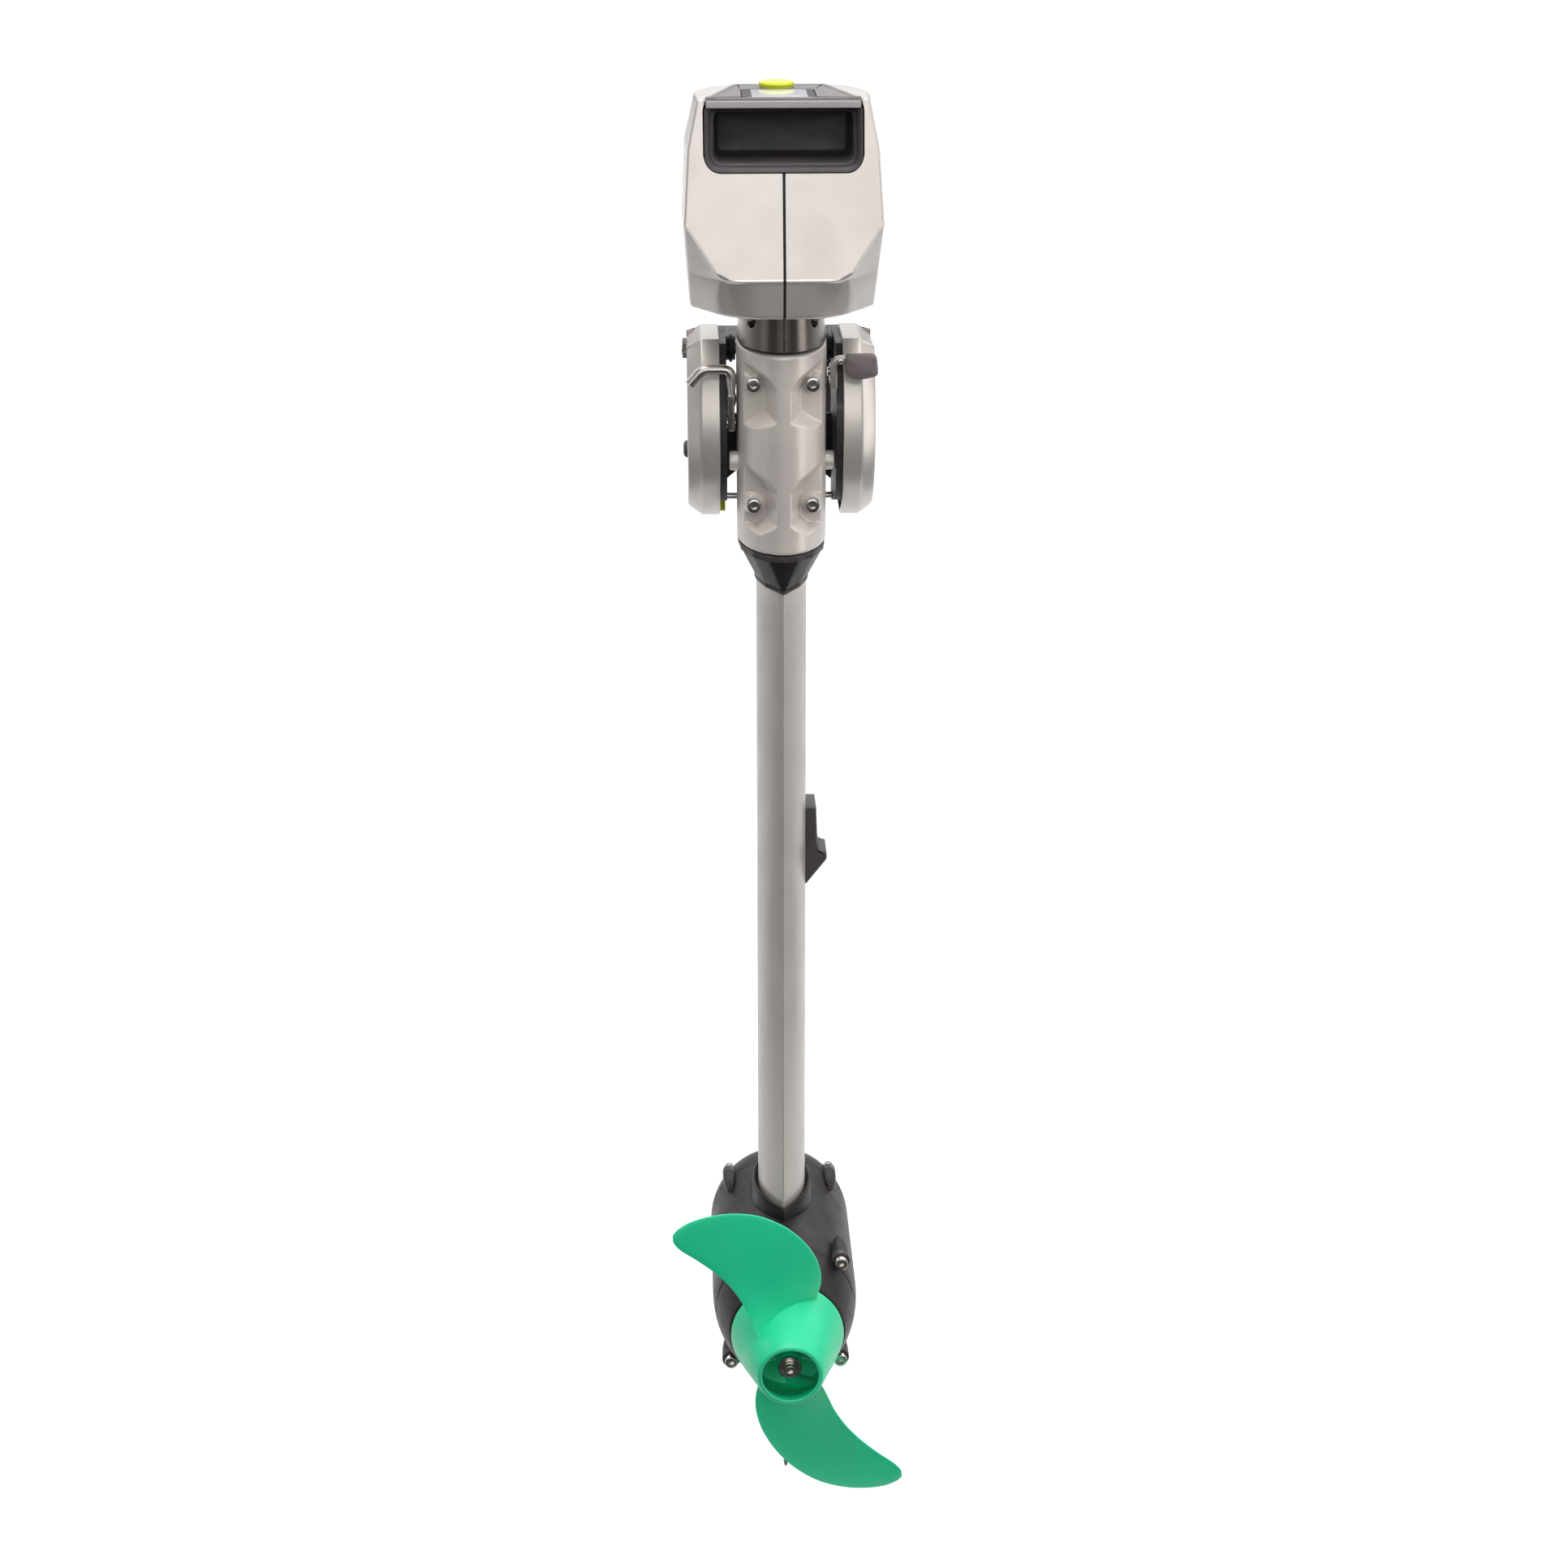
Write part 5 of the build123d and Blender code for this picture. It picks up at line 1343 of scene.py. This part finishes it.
# ---- propeller -------------------------------------------------------------
@dataclass
class Propeller:
    """Two-bladed weedless propeller with a hollow conical hub."""

    pitch: float = 140.0
    blade_s: float = 151.0
    root: float = 6.5
    tip: float = 2.2
    # blade outline seen along the shaft: (towards the lagging side, outwards)
    leading: tuple = ((-18, 24), (-22, 36), (-25, 50), (-24, 63), (-19, 77), (-9, 92),
                      (5, 105), (23, 114.7), (42, 118.6), (60, 118), (74, 114.6), (83, 109.6))
    trailing: tuple = ((24, 20), (30, 35), (35, 47), (44, 61), (55, 73), (68, 84), (80, 93),
                       (85.5, 99.5), (86.2, 105.5))
    hub_start: float = 130.2
    hub_end: float = 192.0

    @staticmethod
    def _curve(points: tuple, count: int) -> np.ndarray:
        """Smooth curve through points: a cubic through each coordinate (Catmull-Rom), taken
        at even steps of length."""
        p = np.array(points, float)
        p = np.vstack([2 * p[0] - p[1], p, 2 * p[-1] - p[-2]])
        t = np.linspace(0, 1, 12, endpoint=False)[:, None]
        out = []
        for a, b, c, d in zip(p, p[1:], p[2:], p[3:]):
            out.append(0.5 * (2 * b + (c - a) * t + (2 * a - 5 * b + 4 * c - d) * t ** 2
                              + (3 * b - a - 3 * c + d) * t ** 3))
        line = np.vstack([*out, p[-2:-1]])
        length = np.concatenate([[0], np.cumsum(np.linalg.norm(np.diff(line, axis=0), axis=1))])
        even = np.linspace(0, length[-1], count)
        return np.column_stack([np.interp(even, length, line[:, k]) for k in (0, 1)])

    def blade(self, turn: float) -> np.ndarray:
        """Closed blade surface: chords between leading and trailing edge lie on a helix whose
        distance aft grows with the lag angle; a lens thickness is added both ways.

        Args:
            turn: rotation of the blade about the shaft, radians.

        Returns:
            Grid (along the span, round the section, 3).
        """
        span, chord = 70, 26
        lead, trail = self._curve(self.leading, span), self._curve(self.trailing, span)
        share = (1 - np.cos(np.linspace(0, math.pi, chord))) / 2
        line = lead[:, None] * (1 - share[:, None]) + trail[:, None] * share[:, None]
        lag, out = line[..., 0], line[..., 1]
        angle, radius = np.arctan2(lag, out), np.hypot(lag, out)
        s = self.blade_s + self.pitch * angle / (2 * math.pi)
        fade = np.linspace(0, 1, span)[:, None]
        full = self.root * (1 - fade) + self.tip * fade
        lens = np.sqrt(np.clip(4 * share * (1 - share), 0, 1))
        thick = full * (0.28 + 0.72 * lens) * np.clip((1 - fade) * 14 + 0.25, 0, 1)
        thick = thick * np.where((share == 0) | (share == 1), 0.35, 1)
        total = angle + turn
        x, z = -radius * np.sin(total), PROP_Z + radius * np.cos(total)
        front, rear = aft(x, s - thick / 2, z), aft(x, s + thick / 2, z)
        return np.concatenate([front, rear[:, ::-1]], 1)

    def hub(self, skin: Skin) -> None:
        """Hub: outer cone, rolled rim, hollow, and the boss with its webs."""
        outer = [(self.hub_start, 12), (self.hub_start, 41.8), (self.hub_start + 0.4, 42.6),
                 (self.hub_start + 1.4, 43), (140, 40.6), (150, 37.8), (162, 34.0),
                 (175, 30.0), (186, 26.6), (self.hub_end - 1.6, 24.8), (self.hub_end - 0.5, 24.1),
                 (self.hub_end, 23.2), (self.hub_end, 21.8), (self.hub_end - 0.6, 21.1),
                 (self.hub_end - 2, 21.2), (182, 23.6), (170, 27), (156, 30.4), (153, 29.5),
                 (152, 27), (152, 9.8), (153, 9.5), (176.8, 9.2), (177.8, 8.8), (178, 8.0)]
        skin.closed(turned(np.array(outer, float), SHAFT, (0, -1, 0), 128))
        for web in (70, 290):
            angle = math.radians(web)
            out = np.array([math.sin(angle), math.cos(angle)])
            side = np.array([out[1], -out[0]])
            loops = []
            for s, reach in ((152.5, 31), (170, 27.4), (180, 24.6), (182.5, 23.8)):
                inner = 8.5 if s < 175 else 14 + (s - 175) * 0.7
                corners = [out * inner + side * 0.8, out * reach + side * 0.8,
                           out * reach - side * 0.8, out * inner - side * 0.8]
                loops.append(np.array([aft(c[0], s, PROP_Z + c[1]) for c in corners]))
            skin.closed(loops)

    def build(self) -> None:
        """Make and dress the propeller and its fasteners."""
        skin = Skin()
        self.hub(skin)
        for turn in (0.0, math.pi):
            skin.closed(self.blade(turn))
        Piece("propeller_moulded", "propeller", ("propeller",), sharp=34).make(skin, GREEN_NYLON)
        ringed = turned(np.array([(178, 3.2), (178, 9.0), (179.6, 9.0), (180, 8.6), (180, 6.6),
                                  (179.4, 6.2), (179.4, 3.2)]), SHAFT, (0, -1, 0), 64)
        washer = Skin().grid(np.concatenate([ringed, ringed[:1]]), wrap=True)
        Piece("prop_washer_turned", "propeller", ("prop_washer",), sharp=30).make(
            washer, STAINLESS)
        screw = Skin()
        bolt(screw, aft(0, 180, PROP_Z), (0, -1, 0), 5.0, 6.0, 5.0, 3.0, 14.0)
        Piece("prop_cap_screw", "propeller", ("prop_screw",), sharp=32).make(screw, STAINLESS)


# ---- tiller ----------------------------------------------------------------
@dataclass
class Tiller:
    """Folding tiller with its twist grip, on the front of the head."""

    flutes: int = 14
    rings: int = 3

    def grip(self) -> Skin:
        """Twist grip: a cylinder with a flange, rounded end, and flutes whose depth fades at
        both ends of the ribbed length."""
        low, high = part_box("throttle_grip")
        centre = middle("throttle_grip")
        start, end = low.y / MM, high.y / MM
        radius = (high.z - low.z) / 2 / MM
        count = self.flutes * 10
        along = np.concatenate([[0, 0.6, 2.2, 5.4, 7.2, 9.0], np.linspace(12, end - start - 8, 60),
                                [end - start - 4, end - start - 1.6, end - start - 0.4,
                                 end - start]])
        size = np.full(len(along), radius - 1.0)
        size[:6] = radius + np.array([-1.2, -0.2, 0.0, 0.0, -0.4, -1.0])
        size[-4:] = radius + np.array([-0.8, -1.0, -2.2, -4.5])
        ribbed = np.clip((along - 12) / 5, 0, 1) * np.clip((end - start - 10 - along) / 5, 0, 1)
        angle = np.linspace(0, 2 * math.pi, count, endpoint=False)
        wave = np.abs(np.sin(angle * self.flutes / 2)) ** 0.5
        factor = 1 - 0.10 * ribbed[:, None] * (1 - wave[None])
        for k in range(self.rings):
            near = np.abs(along - (30 + 30 * k)) < 1.6
            factor[near] *= 0.95
        surface = turned(np.column_stack([along, size]),
                         np.array([centre[0], start, centre[2]]), (0, 1, 0), count, factor)
        return Skin().closed(surface)

    def build(self) -> None:
        """Make and dress the tiller's visible pieces."""
        Piece("throttle_grip_rubber", "throttle", ("throttle_grip",), sharp=50).make(
            self.grip(), BLACK_RUBBER)
        softened_node("tiller_bracket", "steering", CHARCOAL, 0.8)
        softened_node("tiller_arm", "tiller", CHARCOAL, 0.8)
        softened_node("power_button", "power_button", BUTTON, 0.6)


# ---- carried-over nodes ----------------------------------------------------
CARRIED = {
    DRAWN_TUBE: ("steering_tube", "controller"),
    STAINLESS: ("tilt_axle", "lever_pivots", "thrust_rod", "drive_shaft", "shear_pin",
                "tiller_pin", "shaft_bearings"),
    BLACK_CAST: ("steering_bush_upper", "steering_bush_lower"),
    BLACK_RUBBER: ("shaft_seal", "motor_cable"),
    CASE_BLACK: ("battery_pack",),
    CORE: ("stator", "rotor"),
    WINDING: ("windings",),
}


def dress_carried_nodes() -> None:
    """Give every CAD node that stays its finish."""
    for finish, names in CARRIED.items():
        for name in names:
            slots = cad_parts[name].data.materials
            slots.clear()
            slots.append(finish.material())
            LOG.info("%s: carried over, %s", name, finish.name)


# ---- studio ----------------------------------------------------------------
@dataclass
class Studio:
    """Camera, floor, dark cloths and soft lights of a white studio."""

    eye: tuple = (-0.0727, -2.1817, 0.441)
    pitch: float = 70.0
    yaw: float = -2.057
    lens: float = 67.1
    floor_z: float = -1.05

    def camera(self) -> None:
        """Camera behind and above the motor, looking 20 degrees down."""
        data = bpy.data.cameras.new("camera")
        data.lens, data.sensor_width = self.lens, 36.0
        camera = bpy.data.objects.new("camera", data)
        camera.location = self.eye
        camera.rotation_euler = (math.radians(self.pitch), 0, math.radians(self.yaw))
        bpy.context.scene.collection.objects.link(camera)
        bpy.context.scene.camera = camera

    @staticmethod
    def sheet(name: str, low: tuple, high: tuple, z: float,
              colour: str) -> bpy.types.Object:
        """Flat matt stage sheet between two corners of a rectangle at height z."""
        (x0, y0), (x1, y1) = low, high
        data = bpy.data.meshes.new(name)
        data.from_pydata([(x0, y0, z), (x1, y0, z), (x1, y1, z), (x0, y1, z)], [],
                         [(0, 1, 2, 3)])
        sheet = bpy.data.objects.new(name, data)
        bpy.context.scene.collection.objects.link(sheet)
        paint = bpy.data.materials.new(name + "_matt_paint")
        paint.use_nodes = True
        shader = paint.node_tree.nodes["Principled BSDF"]
        shader.inputs["Base Color"].default_value = linear(colour)
        shader.inputs["Roughness"].default_value = 0.9
        data.materials.append(paint)
        return sheet

    def cloth(self, name: str, low: tuple, high: tuple) -> None:
        """Dark cloth just above the floor that the camera and shadows pass; its underside is
        clear, so the floor under it is lit like the rest."""
        cloth = self.sheet(name, low, high, self.floor_z + 0.004, "#1A1A1A")
        cloth.visible_camera = cloth.visible_shadow = False
        tree = cloth.data.materials[0].node_tree
        upper = tree.nodes["Principled BSDF"].outputs["BSDF"]
        clear = add(tree, "ShaderNodeBsdfTransparent", {}).outputs["BSDF"]
        below = add(tree, "ShaderNodeNewGeometry", {}).outputs["Backfacing"]
        either = add(tree, "ShaderNodeMixShader", {0: below, 1: upper, 2: clear})
        tree.links.new(either.outputs["Shader"], tree.nodes["Material Output"].inputs["Surface"])

    def floor(self) -> None:
        """Plain pale floor that runs out of view, and dark cloths that only the motor sees:
        they keep the faces turned to the camera from filling with floor light."""
        self.sheet("floor", (-30, -30), (30, 30), self.floor_z, "#F4F4F4")
        self.cloth("front_cloth", (-0.95, -6.0), (0.95, -0.45))
        self.cloth("left_cloth", (-5.0, -6.0), (-0.95, 0.75))
        self.cloth("right_cloth", (0.95, -6.0), (5.0, 0.75))

    @staticmethod
    def light(name: str, place: tuple, target: tuple, size: tuple, power: float) -> None:
        """Soft rectangular light that faces a target."""
        data = bpy.data.lights.new(name, "AREA")
        data.shape, data.size, data.size_y, data.energy = "RECTANGLE", size[0], size[1], power
        lamp = bpy.data.objects.new(name, data)
        lamp.location = place
        lamp.rotation_euler = (Vector(target) - Vector(place)).to_track_quat("-Z", "Y").to_euler()
        bpy.context.scene.collection.objects.link(lamp)

    def build(self) -> None:
        """Set up the whole studio."""
        self.camera()
        self.floor()
        centre = (0, -0.15, -0.3)
        self.light("overhead", (0, -0.55, 2.3), centre, (2.6, 1.8), 78)
        self.light("front_wall", (0, -4.8, 1.7), (0, -0.15, 0.1), (5.0, 3.0), 100)
        self.light("left_wall", (-1.9, -0.5, 0.0), centre, (0.9, 2.6), 4)
        self.light("right_wall", (1.9, -0.5, 0.2), centre, (0.9, 2.6), 20)
        self.light("backdrop", (0, 9.5, 3.2), (0, 9.5, 0), (20, 15), 1500)
        world = bpy.data.worlds.new("studio")
        world.use_nodes = True
        sky = world.node_tree.nodes["Background"]
        sky.inputs["Color"].default_value = (1, 1, 1, 1)
        sky.inputs["Strength"].default_value = 0.2
        bpy.context.scene.world = world
        bpy.context.scene.view_settings.view_transform = "Standard"


def main() -> None:
    """Build the studio, then the motor from its head down."""
    logging.basicConfig(level=logging.INFO, format="%(message)s")
    Studio().build()
    leg = Leg()
    for part in (Head(), Housing(), Bracket(), leg, Pod(leg), Propeller(), Tiller()):
        LOG.info("building %s", type(part).__name__)
        part.build()
    dress_carried_nodes()
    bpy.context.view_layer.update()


if __name__ == "__main__":
    main()
